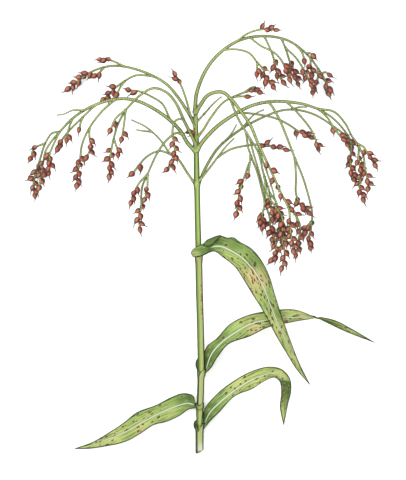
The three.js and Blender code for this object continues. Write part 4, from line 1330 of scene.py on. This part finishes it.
@dataclass
class SprayBuilder:
    """Builds each spray from its limbs: smooth branches, and the spikelets at their ends."""

    stems: StemTree
    spikelets: SpikeletTree
    finishes: Finishes
    step: float = 1.2
    sides: int = 8
    fullness: float = 1.65
    least_thickness: float = 1.75
    bare_tip: float = 0.6
    least_level: float = 0.4
    knot_length: float = 1.8
    root_length: float = 4.5
    knot_swelling: float = 0.4
    joint_steps: int = 60
    surface_gap: float = 0.05
    seat: float = 2.6
    splay: float = 36.0
    tip_splay: float = 6.0
    splay_spread: float = 22.0
    turn_spread: float = 1.2
    third_turn: float = 1.2
    size_spread: float = 0.16

    def build(self, node: str, limbs: Sequence[Limb], number: int) -> None:
        """Builds one spray.

        Args:
            node: Name of its node.
            limbs: Its branches.
            number: Its place in the list, from 1, which seeds its spikelets.
        """
        lines = Surface()
        seats = Surface()
        earlier: list[Vector] = []
        for k, limb in enumerate(limbs):
            start = Vector(limb.at[0])
            if earlier:
                start = min(earlier, key=lambda place: (place - start).length)
            curve = SmoothCurve((start, *limb.at[1:]))
            self.add_line(lines, limb, curve, self.knot_length if earlier else self.root_length)
            earlier += [curve.at(step / self.joint_steps) for step in range(self.joint_steps + 1)]
            self.add_seats(seats, limb, curve, Chance(number * 100 + k))
        self.grow_stems(lines, f"{node}_branches", node, "seed_spray")
        if seats.points:
            seeds = seats.to_object(f"{node}_spikelets")
            settings = {"Seed": number, "Finish": self.finishes.spikelet, **self.spikelets.forms}
            self.spikelets.grow(seeds, settings)
            for vertex in seeds.data.vertices:
                vertex.co.z = max(vertex.co.z, self.surface_gap * MM)
            hand_over(seeds, node)

    def grow_stems(self, lines: Surface, name: str, node: str, slot: str) -> None:
        """Grows lines into stems and hands them over.

        Args:
            lines: The lines that the stems follow.
            name: Name of the piece.
            node: Name of the node that it stands for.
            slot: Not used.
        """
        piece = lines.to_object(name)
        self.stems.grow(piece, {"Sides": self.sides, "Finish": self.finishes.branch})
        hand_over(piece, node)

    def add_line(self, lines: Surface, limb: Limb, curve: SmoothCurve, swollen: float) -> None:
        """Adds the line that a branch follows, with its thickness.

        Args:
            lines: The surface of lines to add to.
            limb: The branch.
            curve: Its route.
            swollen: Length of the swelling at its root.
        """
        steps = max(3, round(curve.length / self.step))
        for k in range(steps + 1):
            share = k / steps
            along = share * curve.length
            knot = hump(along, 0.0, swollen)
            least = self.least_thickness * (1.0 if limb.spikelets else blend(1.0, self.bare_tip, share))
            thickness = max(least, self.fullness * blend(limb.root, limb.tip, share))
            radius = thickness / 2 * (1 + self.knot_swelling * knot)
            # level: how far this stretch can face up, which scales the crest number for the painted
            # highlight and shade
            level = max(self.least_level, math.sqrt(1 - curve.heading(share).z ** 2))
            here = lines.add(curve.at(share), thickness=radius * MM, knot=knot, along=along, level=level)
            if k:
                lines.lines.append((here - 1, here))

    def add_seats(self, seats: Surface, limb: Limb, curve: SmoothCurve, chance: Chance) -> None:
        """Adds the points that spikelets stand on, by the rule of the frame's spikelets.

        Args:
            seats: The surface of points to add to.
            limb: The branch that carries them.
            curve: Its route.
            chance: Its random generator.
        """
        for k in range(limb.spikelets):
            back = limb.run * k / (limb.spikelets - 1) if limb.spikelets > 1 else 0.0
            share = max(0.0, 1 - (back + self.seat) / curve.length)
            heading = curve.heading(share)
            side = Vector((heading.y, -heading.x, 0)).normalized()
            up = side.cross(heading)
            turn = math.pi * k + (self.third_turn if k % 3 == 2 else 0.0)
            turn += (chance.draw() - 0.5) * self.turn_spread
            lean = self.splay + (chance.draw() - 0.5) * self.splay_spread
            splay = math.radians(self.tip_splay if k == 0 else lean)
            outward = side * math.cos(turn) + up * math.sin(turn)
            along = heading * math.cos(splay) + outward * math.sin(splay)
            facing = (up - along * up.dot(along)).normalized()
            size = 1 + (chance.draw() - 0.5) * self.size_spread
            seats.add(curve.at(share), size=size, heading=along, facing=facing)


@dataclass
class Culm:
    """The stalk itself, from the cut foot to the top of the seed head, with its bare twigs.

    `radii` holds its heights and radii. `knots` holds its light, swollen nodes as (height, length),
    and `pith` the rings of the cut as (share of the radius, depth below the cut). A stripe of painted
    shade runs up one flank from the first node where the culm has a groove, and a dark line goes round
    below that node.
    """

    branching: SprayBuilder
    sides: int = 36
    step: float = 1.0
    foot: float = -9.0
    top: float = 264.0
    rind: float = 0.35
    twig_knot: float = 1.5
    radii: tuple[tuple[float, float], ...] = (
        (-9.0, 2.72), (5.0, 2.6), (10.0, 2.0), (15.0, 1.9), (21.0, 2.1), (145.0, 2.2), (151.0, 2.45),
        (178.0, 2.38), (199.0, 2.32), (204.0, 2.75), (210.0, 2.32), (230.0, 2.15), (236.0, 2.5),
        (246.0, 1.95), (254.0, 2.1), (264.0, 1.3),
    )
    knots: tuple[tuple[float, float], ...] = ((204, 2.0), (236, 3.0), (254, 3.0))
    groove_start: Band = (203, 209)
    groove_end: Band = (240, 230)
    groove_flank: float = 0.52
    groove_width: float = 0.14
    ring_line: float = 203.4
    ring_line_width: float = 0.5
    pith: tuple[tuple[float, float], ...] = (
        (0.0, 0.9), (0.45, 0.75), (0.8, 0.5), (1.0, 0.1), (1.0, -0.6), (0.0, -0.6),
    )
    twigs: tuple[Limb, ...] = (
        Limb(((-2.6, 253, 30), (4, 260, 33), (12, 269, 33), (18, 274, 32)), 1.1, 0.7),
        Limb(((4, 260, 33), (8, 265, 36)), 0.8, 0.7),
    )

    def build(self) -> None:
        """Builds the stalk, the pith of its cut foot, and the twigs."""
        finishes = self.branching.finishes
        hand_over(self.stalk().to_object("culm_stalk"), "culm", finishes.culm)
        hand_over(self.cut().to_object("culm_cut"), "culm", finishes.pith)
        lines = Surface()
        for twig in self.twigs:
            self.branching.add_line(lines, twig, SmoothCurve(twig.at), self.twig_knot)
        self.branching.grow_stems(lines, "culm_twigs", "culm", "culm")

    def stalk(self) -> Surface:
        """Builds the stalk.

        Returns:
            Its surface, closed at both ends.
        """
        surface = Surface()
        count = round((self.top - self.foot) / self.step)
        rings = [self.ring(surface, blend(self.foot, self.top, k / count)) for k in range(count + 1)]
        ends: list[list[int]] = []
        for y in (self.foot, self.top):
            x, z = read_stations(CULM_STATIONS, y, soft=False)
            numbers = {"flank": 0.0, "along": y, "mouth": KNOT_TINT, "shade": 0.0}
            ends.append([surface.add(Vector((x, y, z)), **numbers, **PLAIN_STEM)])
        surface.join_rings([ends[0], *rings, ends[1]])
        return surface

    def ring(self, surface: Surface, y: float) -> list[int]:
        """Adds one upright ring of the stalk, aslant at the cut foot.

        Args:
            surface: The surface to add to.
            y: Height of the ring's middle.

        Returns:
            The indices of its points.
        """
        x, z = read_stations(CULM_STATIONS, y, soft=False)
        radius = read_stations(self.radii, y)[0]
        slant = FOOT_SLANT if y == self.foot else 0.0
        knot = min(KNOT_TINT, sum(hump(y, height, length) for height, length in self.knots))
        # A stripe of painted shade up one flank, where the culm has a groove that its round rings don't
        # make
        groove = 0.45 * soft_step(y, *self.groove_start) * soft_step(y, *self.groove_end)
        line = 0.6 * hump(y, self.ring_line, self.ring_line_width)
        ring: list[int] = []
        for angle in angles(self.sides):
            flank = math.sin(angle)
            shade = groove * hump(flank, self.groove_flank, self.groove_width)
            shade += line * soft_step(flank, -0.2, 0.2)
            point = Vector((x + radius * flank, y + slant * radius * flank, z + radius * math.cos(angle)))
            numbers = {"flank": flank, "along": y, "mouth": knot, "shade": shade}
            ring.append(surface.add(point, **numbers, **PLAIN_STEM))
        return ring

    def cut(self) -> Surface:
        """Builds the pith that shows on the slanting cut, as a shallow dome.

        Returns:
            Its surface.
        """
        surface = Surface()
        x, z = read_stations(CULM_STATIONS, self.foot, soft=False)
        radius = read_stations(self.radii, self.foot)[0] - self.rind
        rings: list[list[int]] = []
        for share, drop in self.pith:
            ring: list[int] = []
            for angle in angles(self.sides) if share else [0.0]:
                across = share * radius * math.sin(angle)
                y = self.foot + FOOT_SLANT * across - drop
                point = Vector((x + across, y, z + share * radius * math.cos(angle)))
                ring.append(surface.add(point, rim=soft_step(share, 0.8, 1.0)))
            rings.append(ring)
        surface.join_rings(rings)
        return surface


class Mark(Enum):
    """What a patch on a leaf shows. The value names the number that the materials read."""

    SPOTS = "spots"
    YELLOW = "yellow"
    BUFF = "buff"
    SHADE = "shade"


@dataclass(frozen=True)
class Habit:
    """How one leaf grows and is marked.

    `patches` holds the round stretches that show each mark, strongest in their middle.
    `flare_side` is the side its sheath's mouth opens to: 1 for the right, -1 for the left, 0 for both.
    `rib_from` and `rib_to` are the shares of the blade's length between which its midrib is white.
    `turn` is a line in plan. The outer part of the blade on its left has turned over and is darkened
    with painted shade, strongest near the line, all over or, where `turn_side` is -1, in its left half
    only. `fold` holds the edges of a flap.
    """

    patches: dict[Mark, tuple[Patch, ...]]
    flare_side: int
    rib_from: float = 0.0
    rib_to: float = 0.95
    notch: float = 2.6
    turn: tuple[tuple[float, float], ...] = ()
    turn_side: float = 0.0
    ear: tuple[Point, ...] = ()
    fold: tuple[tuple[Point, ...], ...] = ()


@dataclass
class Leaf:
    """A leaf: a sheath round the culm, a blade between three outlines, and its ear or fold."""

    node: str
    shape: LeafShape
    finishes: Finishes
    habit: Habit
    rows: int = 100
    columns: int = 25
    thickness: float = 0.35
    edge_share: float = 0.6
    keel: float = 0.5
    keel_width: float = 0.6
    edge_on: float = 0.7
    arch: float = 0.28
    tip_share: float = 0.997
    wave: float = 0.55
    wave_length: float = 6.0
    wave_start: Band = (12, 34)
    rib_strength: float = 0.95
    rib_end_strength: float = 0.15
    rib_fade: float = 0.35
    tip_yellow: float = 0.8
    yellow_tip: Band = (0.75, 1.0)
    least_spots: float = 0.2
    most_spots: float = 0.9
    open_start: float = 9.0
    under_shade: float = 0.7
    under_ends: float = -5.0
    ear_steps: int = 14
    ear_columns: int = 5
    ear_depth: float = 1.2
    ear_crown: float = 0.9
    ear_rise: float = 0.2
    ear_width: float = 2.0
    ear_shade: Band = (0.45, 0.85)
    ear_yellow: float = 0.2
    fold_steps: int = 20
    fold_columns: int = 6
    fold_crown: float = 0.5
    fold_shade: float = 0.75
    sheath_step: float = 1.2
    sheath_sides: int = 44
    wall: float = 0.45
    flare: float = 0.35
    mouth_length: float = 7.0
    notch_angle: float = -0.15
    notch_width: float = 0.6
    notch_reach: float = 9.0
    seam_angle: float = -0.55
    foot_round: float = 0.8
    foot_rim: Band = (-8.0, -9.0)
    foot_bare: Band = (1.0, -6.5)
    mouth_rim: float = 1.2
    arch_below: float = 4.4
    arch_width: float = 1.5

    def build(self) -> None:
        """Builds the blade and the sheath, and the ear or fold where the leaf has one."""
        self.hand_over_part("blade", Surface.sheet(self.blade_rows()), self.finishes.blade)
        self.hand_over_part("sheath", self.sheath(), self.finishes.sheath)
        if self.habit.ear:
            self.hand_over_part("ear", Surface.sheet(self.ear_rows()), self.finishes.blade)
        if self.habit.fold:
            self.hand_over_part("fold", Surface.sheet(self.fold_rows()), self.finishes.blade)

    def hand_over_part(self, part: str, surface: Surface, finish: Material) -> None:
        """Makes a part of the leaf its own piece and hands it over."""
        hand_over(surface.to_object(f"{self.node}_{part}"), self.node, finish)

    def marked(self, mark: Mark, point: Vector) -> float:
        """Measures how strongly a mark shows at a point.

        Args:
            mark: The mark.
            point: The point.

        Returns:
            Its strength, from 0 to 1.
        """
        total = 0.0
        for x, y, radius, strength in self.habit.patches.get(mark, ()):
            total += strength * soft_step(math.hypot(point.x - x, point.y - y), 1.5 * radius, 0.4 * radius)
        return min(1.0, total)

    def turned(self, point: Vector, share: float) -> float:
        """Measures how far a point lies past the line where the blade turns over.

        Args:
            point: The point.
            share: Its place along the blade, 0 to 1.

        Returns:
            The distance, or less than 0 before the line.
        """
        if not self.habit.turn or share < 0.5 or point.x < min(self.habit.turn)[0] + 0.5:
            return -1.0
        (x0, y0), (x1, y1) = self.habit.turn
        across = (x1 - x0) * (point.y - y0) - (y1 - y0) * (point.x - x0)
        return across / math.hypot(x1 - x0, y1 - y0)

    def turn_shade(self, past: float, across: float) -> float:
        """Measures how dark the blade is where it has turned over.

        Args:
            past: Distance past the line where it turns.
            across: Place across the blade, from -1 to 1.

        Returns:
            The shade, from 0 to 1.
        """
        lower = blend(1.0, 0.2, soft_step(self.habit.turn_side * across, 0.1, -0.9))
        side = lower if self.habit.turn_side else 1.0
        return side * soft_step(past, -0.2, 0.3) * blend(1.0, 0.1, soft_step(past, 8.0, 26.0))

    def blade_rows(self) -> Iterator[list[Spot]]:
        """Lays out the blade as a thin arched sheet with a keel under its midrib.

        Returns:
            Its rows of spots, from the collar to the tip.
        """
        left, mid, right = map(SmoothCurve, (self.shape.left, self.shape.mid, self.shape.right))
        start_inset = 0.0 if self.habit.rib_from else self.open_start
        for i in range(self.rows):
            share = self.tip_share * i / (self.rows - 1)
            middle = mid.at(share)
            edges = left.at(share), right.at(share)
            normal = (edges[1] - edges[0]).cross(mid.heading(share)).normalized()
            along = share * mid.length
            rib = self.rib_strength * soft_step(share, self.habit.rib_from, self.habit.rib_from + 0.02)
            faded = soft_step(share, self.habit.rib_to - self.rib_fade, self.habit.rib_to)
            rib *= blend(1.0, self.rib_end_strength, faded)
            tip_yellow = self.tip_yellow * soft_step(share, *self.yellow_tip)
            row: list[Spot] = []
            for j in range(self.columns):
                side = 2 * j / (self.columns - 1) - 1
                edge = edges[0] if side < 0 else edges[1]
                half = (middle - edge).length
                reach = abs(side)
                ripple = self.wave * math.sin(along / self.wave_length + 3 * side) * reach**3
                ripple *= soft_step(along, *self.wave_start) * soft_step(half, 0.5, 4.0)
                lift = self.arch * half * reach * (1 - reach) + ripple
                point = middle.lerp(edge, reach) + normal * lift
                across = side * half
                past = self.turned(point, share)
                near = soft_step(past, 0.6, -0.1)
                turned = self.turn_shade(past, side)
                numbers = {
                    "across": across,
                    "along": along,
                    "inset": min(half * (1 - reach) + 0.3 * soft_step(along, 4, 0), along + start_inset),
                    "rib": blend(1.0, 0.35, share),
                    "rib_strength": rib * near,
                    "yellow": max(self.marked(Mark.YELLOW, point), tip_yellow * near),
                    "buff": self.marked(Mark.BUFF, point),
                    "spots": min(self.most_spots, self.least_spots + self.marked(Mark.SPOTS, point)),
                    "shade": max(self.marked(Mark.SHADE, point), turned),
                }
                depth = self.thickness * blend(1.0, self.edge_share, reach)
                depth += self.keel * hump(across, 0, self.keel_width)
                depth += self.edge_on * soft_step(abs(normal.z), 0.8, 0.2)
                under = turned if past > self.under_ends else self.under_shade
                row.append((point, point - normal * depth, numbers, under))
            yield row

    def ear_rows(self) -> Iterator[list[Spot]]:
        """Lays out the rounded ear of the collar that shows beside the culm, a small thick crescent.

        Returns:
            Its rows of spots, from its foot to its top.
        """
        outer = SmoothCurve(self.habit.ear)
        rise = Vector((0, 0, self.ear_rise))
        for i in range(self.ear_steps + 1):
            share = i / self.ear_steps
            root = outer.at(0).lerp(outer.at(1), share) + Vector((self.ear_depth, 0, 0))
            row: list[Spot] = []
            for j in range(self.ear_columns):
                part = j / (self.ear_columns - 1)
                point = root.lerp(outer.at(share), part)
                crown = self.ear_crown * math.sin(math.pi * share) * math.cos(part * math.pi / 2)
                inset = (1 - part) * self.ear_width
                shade = blend(*self.ear_shade, 1 - part)
                numbers = {"across": inset + 1.0, "along": share * outer.length, "shade": shade}
                numbers = {**PLAIN_LEAF, **numbers, "inset": inset, "yellow": self.ear_yellow * part}
                row.append((point + rise + Vector((0, 0, crown)), point - rise, numbers, shade))
            yield row

    def fold_rows(self) -> Iterator[list[Spot]]:
        """Lays out the flap of the blade that is folded over near the collar.

        Returns:
            Its rows of spots, from one end to the other.
        """
        inner, outer = map(SmoothCurve, self.habit.fold)
        for i in range(self.fold_steps + 1):
            share = i / self.fold_steps
            near, far = inner.at(share), outer.at(share)
            width = (far - near).length
            row: list[Spot] = []
            for j in range(self.fold_columns):
                part = j / (self.fold_columns - 1)
                crown = self.fold_crown * math.sin(math.pi * part) * math.sin(math.pi * share)
                point = near.lerp(far, part) + Vector((0, 0, crown))
                numbers = {"across": part * width, "along": share * inner.length, "shade": self.fold_shade}
                numbers = {**PLAIN_LEAF, **numbers, "inset": min(part, 1 - part) * width}
                row.append((point, point - Vector((0, 0, self.thickness)), numbers, self.fold_shade))
            yield row

    def sheath(self) -> Surface:
        """Builds the sheath as a thin tube with a notched mouth that opens towards the blade.

        Returns:
            Its surface.
        """
        surface = Surface()
        bottom = self.shape.sheath[0][0]
        top = self.shape.sheath[-1][0]
        count = max(12, round((top - bottom) / self.sheath_step))
        heights = [blend(bottom, top, k / count) for k in range(count + 1)]
        outer = [self.sheath_ring(surface, y, 0.0) for y in heights]
        inner = [self.sheath_ring(surface, y, self.wall) for y in heights]
        surface.join_rings([*outer, *inner[::-1], outer[0]])
        return surface

    def rim_shade(self, y: float) -> float:
        """Measures how dark the sheath is at a height: dark at its mouth and at the cut foot.

        Args:
            y: The height.

        Returns:
            The shade, from 0 to 1.
        """
        top = self.shape.sheath[-1][0]
        mouth = 0.7 * soft_step(y, top - self.mouth_rim, top) if self.habit.flare_side else 0.0
        arch = 0.55 * hump(y, top - self.arch_below, self.arch_width) if self.habit.flare_side < 0 else 0.0
        return max(mouth, arch, 0.9 * soft_step(y, *self.foot_rim))

    def sheath_ring(self, surface: Surface, y: float, inward: float) -> list[int]:
        """Adds one upright ring of the sheath.

        Args:
            surface: The surface to add to.
            y: Height of its middle.
            inward: How far it lies inside the sheath's outer face.

        Returns:
            The indices of its points.
        """
        bottom = self.shape.sheath[0][0]
        top = self.shape.sheath[-1][0]
        side = self.habit.flare_side
        wide, tall = (radius - inward for radius in read_stations(self.shape.sheath, y))
        neck = read_stations(self.shape.sheath, max(bottom, top - self.mouth_length))[0]
        around_z = min(tall, neck) + max(0.0, tall - neck) * self.flare
        x, z = read_stations(CULM_STATIONS, y, soft=False)
        slant = FOOT_SLANT if y == bottom and y < 0 else 0.0
        rounding = self.foot_round if slant else 0.0
        notch = self.habit.notch * soft_step(y, top - self.notch_reach, top)
        seam_angle = blend(self.notch_angle, self.seam_angle, soft_step(y, top, top - self.mouth_length))
        ring: list[int] = []
        for angle in angles(self.sheath_sides):
            flank, front = math.sin(angle), math.cos(angle)
            turn = math.atan2(flank, front)
            opened = 1.0 if side == 0 else soft_step(side * flank, -0.2, 0.8)
            around_x = min(wide, neck) + max(0.0, wide - neck) * blend(self.flare, 1.0, opened)
            across = around_x * flank
            dip = notch * hump(turn, self.notch_angle, self.notch_width)
            point = Vector((x + across, y + slant * across - rounding * front - dip, z + around_z * front))
            numbers = {
                "flank": flank,
                "along": y - bottom,
                "mouth": 0.7 * soft_step(y, top - 5, top - 2) if side == 0 else 0.0,
                "spots": self.marked(Mark.SPOTS, point) * soft_step(flank, 0.1, 0.4),
                "seam": wide * (turn - seam_angle) if side > 0 and front > 0 else NO_SEAM,
                "shade": self.rim_shade(y),
                "bare": soft_step(y, *self.foot_bare) * blend(0.5, 1.0, flank) if bottom < 0 else 0.0,
            }
            ring.append(surface.add(point, **numbers))
        return ring


HABITS: dict[str, Habit] = {
    "leaf_flag": Habit(
        patches={
            Mark.SPOTS: ((44, 130, 16, 0.9), (55, 114, 14, 0.5), (62, 96, 16, 0.3), (2.4, 111, 12, 0.9)),
            Mark.BUFF: ((46, 129, 9, 0.75), (37, 133, 6, 0.4), (66, 88, 6, 0.3), (-3.4, 149.8, 3.2, 0.35)),
            Mark.YELLOW: (
                (24, 143, 9, 0.5), (40, 116, 11, 0.85), (55, 92, 12, 0.8), (70, 66, 14, 0.9),
                (-3.4, 149.8, 3.4, 0.5),
            ),
            Mark.SHADE: (
                (-4, 150, 4, 0.3), (4, 151.5, 4, 0.55), (9.5, 152.6, 3.0, 0.9), (16, 158, 4, 0.6),
                (27, 157, 7, 0.4), (43, 143, 5, 0.3), (64, 103, 5, 0.5),
            ),
        },
        flare_side=0,
        rib_from=0.105,
        fold=(
            ((3.2, 155.6, 25.2), (6, 154.6, 26), (9.5, 155.4, 27.2), (12.5, 158, 28.2), (17, 163, 28.6)),
            ((3.4, 157, 25), (6, 160, 25.6), (10, 161.8, 26.6), (14, 163.4, 27.8), (18, 164.3, 28.4)),
        ),
    ),
    "leaf_second": Habit(
        patches={
            Mark.SPOTS: ((45, 89, 8, 0.5), (48, 101, 9, 0.5), (70, 101, 14, 0.6), (110, 95.5, 3, 0.8)),
            Mark.BUFF: ((45, 88, 5, 0.8), (64, 93, 7, 0.5), (84, 96, 6, 0.4), (110, 95.5, 3, 0.5)),
            Mark.YELLOW: ((36, 96, 9, 0.5), (52, 92, 12, 0.7), (78, 99, 12, 0.6), (110, 93, 14, 0.7)),
            Mark.SHADE: ((6, 62, 5, 0.9), (11, 70, 6, 0.7), (19, 82, 6, 0.4)),
        },
        flare_side=1,
        rib_to=0.8,
        turn=((93.0, 105.0), (97.0, 90.0)),
        turn_side=-1.0,
        ear=((-0.6, 55.6, 6.4), (-2.1, 57.2, 6.0), (-2.9, 60.6, 5.8), (-2.3, 63.8, 6.2), (-0.9, 65.8, 7.0)),
    ),
    "leaf_third": Habit(
        patches={
            Mark.SPOTS: ((-45, 12, 16, 0.3), (-75, -2, 10, 0.3)),
            Mark.BUFF: ((-46, 8, 5, 0.3),),
            Mark.YELLOW: ((-24, 20, 9, 0.5), (-42, 10, 12, 0.6), (-70, -1, 16, 0.8)),
            Mark.SHADE: ((-5, 34, 5, 0.8), (-14, 35, 6, 0.45), (-3, 27, 3, 0.4)),
        },
        flare_side=-1,
    ),
    "leaf_fourth": Habit(
        patches={
            Mark.SPOTS: ((24, 42, 9, 0.4), (46, 50, 9, 0.4), (69, 34, 9, 0.3), (68, 36, 10, 0.6)),
            Mark.BUFF: ((30, 47, 4, 0.4), (68, 36, 10, 0.2)),
            Mark.YELLOW: ((30, 44, 10, 0.5), (46, 52, 12, 0.7), (67, 54, 8, 0.8), (68, 20, 7, 0.6)),
            Mark.SHADE: ((6, 18, 5, 0.9), (11, 27, 5, 0.7)),
        },
        flare_side=1,
        rib_to=0.74,
        notch=6.0,
        turn=((73.8, 47.2), (62.0, 49.8)),
        ear=((-1.9, 8.2, 3.4), (-3.9, 9.6, 3.2), (-4.4, 12.2, 3.2), (-3.8, 14.9, 3.4), (-2.0, 16.4, 3.8)),
    ),
}


@dataclass(frozen=True)
class Studio:
    """The pale surface, the plain soft light and the camera that looks straight down."""

    middle: tuple[float, float] = (3.2, 160.0)
    frame_height: float = 384.0
    lens: float = 500.0
    sensor: float = 36.0
    floor_half: float = 60.0
    floor_tone: float = 0.93
    sky: float = 1.6
    sun: float = 1.5
    sun_spread: float = 60.0
    sun_from: Point = (-0.55, 0.6, 1.0)

    def build(self) -> None:
        """Sets up the light, the surface and the camera."""
        scene = bpy.context.scene
        scene.view_settings.view_transform = "Standard"
        self.light(scene)
        self.floor(scene)
        self.camera(scene)

    def light(self, scene: Scene) -> None:
        """Lights the scene with an even white sky and a wide soft sun.

        Args:
            scene: The scene.
        """
        scene.world = bpy.data.worlds.new("studio")
        scene.world.use_nodes = True
        sky = scene.world.node_tree.nodes["Background"].inputs
        sky["Color"].default_value = (1, 1, 1, 1)
        sky["Strength"].default_value = self.sky
        lamp = bpy.data.lights.new("studio_sun", "SUN")
        lamp.energy = self.sun
        lamp.angle = math.radians(self.sun_spread)
        sun = bpy.data.objects.new("studio_sun", lamp)
        sun.rotation_mode = "QUATERNION"
        sun.rotation_quaternion = Vector(self.sun_from).to_track_quat("Z", "Y")
        scene.collection.objects.link(sun)

    def floor(self, scene: Scene) -> None:
        """Lays the pale surface that the stalk lies on.

        Args:
            scene: The scene.
        """
        half = self.floor_half
        mesh = bpy.data.meshes.new("floor")
        corners = [(-half, -half, 0), (half, -half, 0), (half, half, 0), (-half, half, 0)]
        mesh.from_pydata(corners, [], [(0, 1, 2, 3)])
        floor = bpy.data.objects.new("floor", mesh)
        scene.collection.objects.link(floor)
        material, shader = new_material("floor", 0.9, 0.1)
        shader.inputs["Base Color"].default_value = (self.floor_tone, self.floor_tone, self.floor_tone, 1)
        mesh.materials.append(material)

    def camera(self, scene: Scene) -> None:
        """Hangs the camera over the middle of the picture, with +Y upward in the picture.

        Args:
            scene: The scene.
        """
        lens = bpy.data.cameras.new("camera")
        lens.lens = self.lens
        lens.sensor_width = self.sensor
        lens.clip_end = 100
        camera = bpy.data.objects.new("camera", lens)
        camera.location = Vector((*self.middle, self.frame_height * self.lens / self.sensor)) * MM
        scene.collection.objects.link(camera)
        scene.camera = camera


def main() -> None:
    """Builds the stalk's pieces in order, then the studio."""
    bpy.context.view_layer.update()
    finishes = Finishes(Effects())
    forms = [
        SpikeletForm("spikelet_plain").build(),
        SpikeletForm("spikelet_long_awn", awn=3.2, awn_lean=-1.4, width=4.1, tip_lean=-0.5).build(),
        SpikeletForm("spikelet_plump", awn=2.1, awn_lean=0.7, width=4.9, length=6.6, tip_lean=0.6).build(),
    ]
    builder = SprayBuilder(StemTree(), SpikeletTree(forms), finishes)
    Culm(builder).build()
    for number, (node, limbs) in enumerate(SPRAYS.items(), 1):
        builder.build(node, limbs, number)
    for form in forms:
        bpy.data.objects.remove(form)
    for node, shape in LEAVES.items():
        Leaf(node, shape, finishes, HABITS[node]).build()
    Studio().build()


if __name__ == "__main__":
    main()
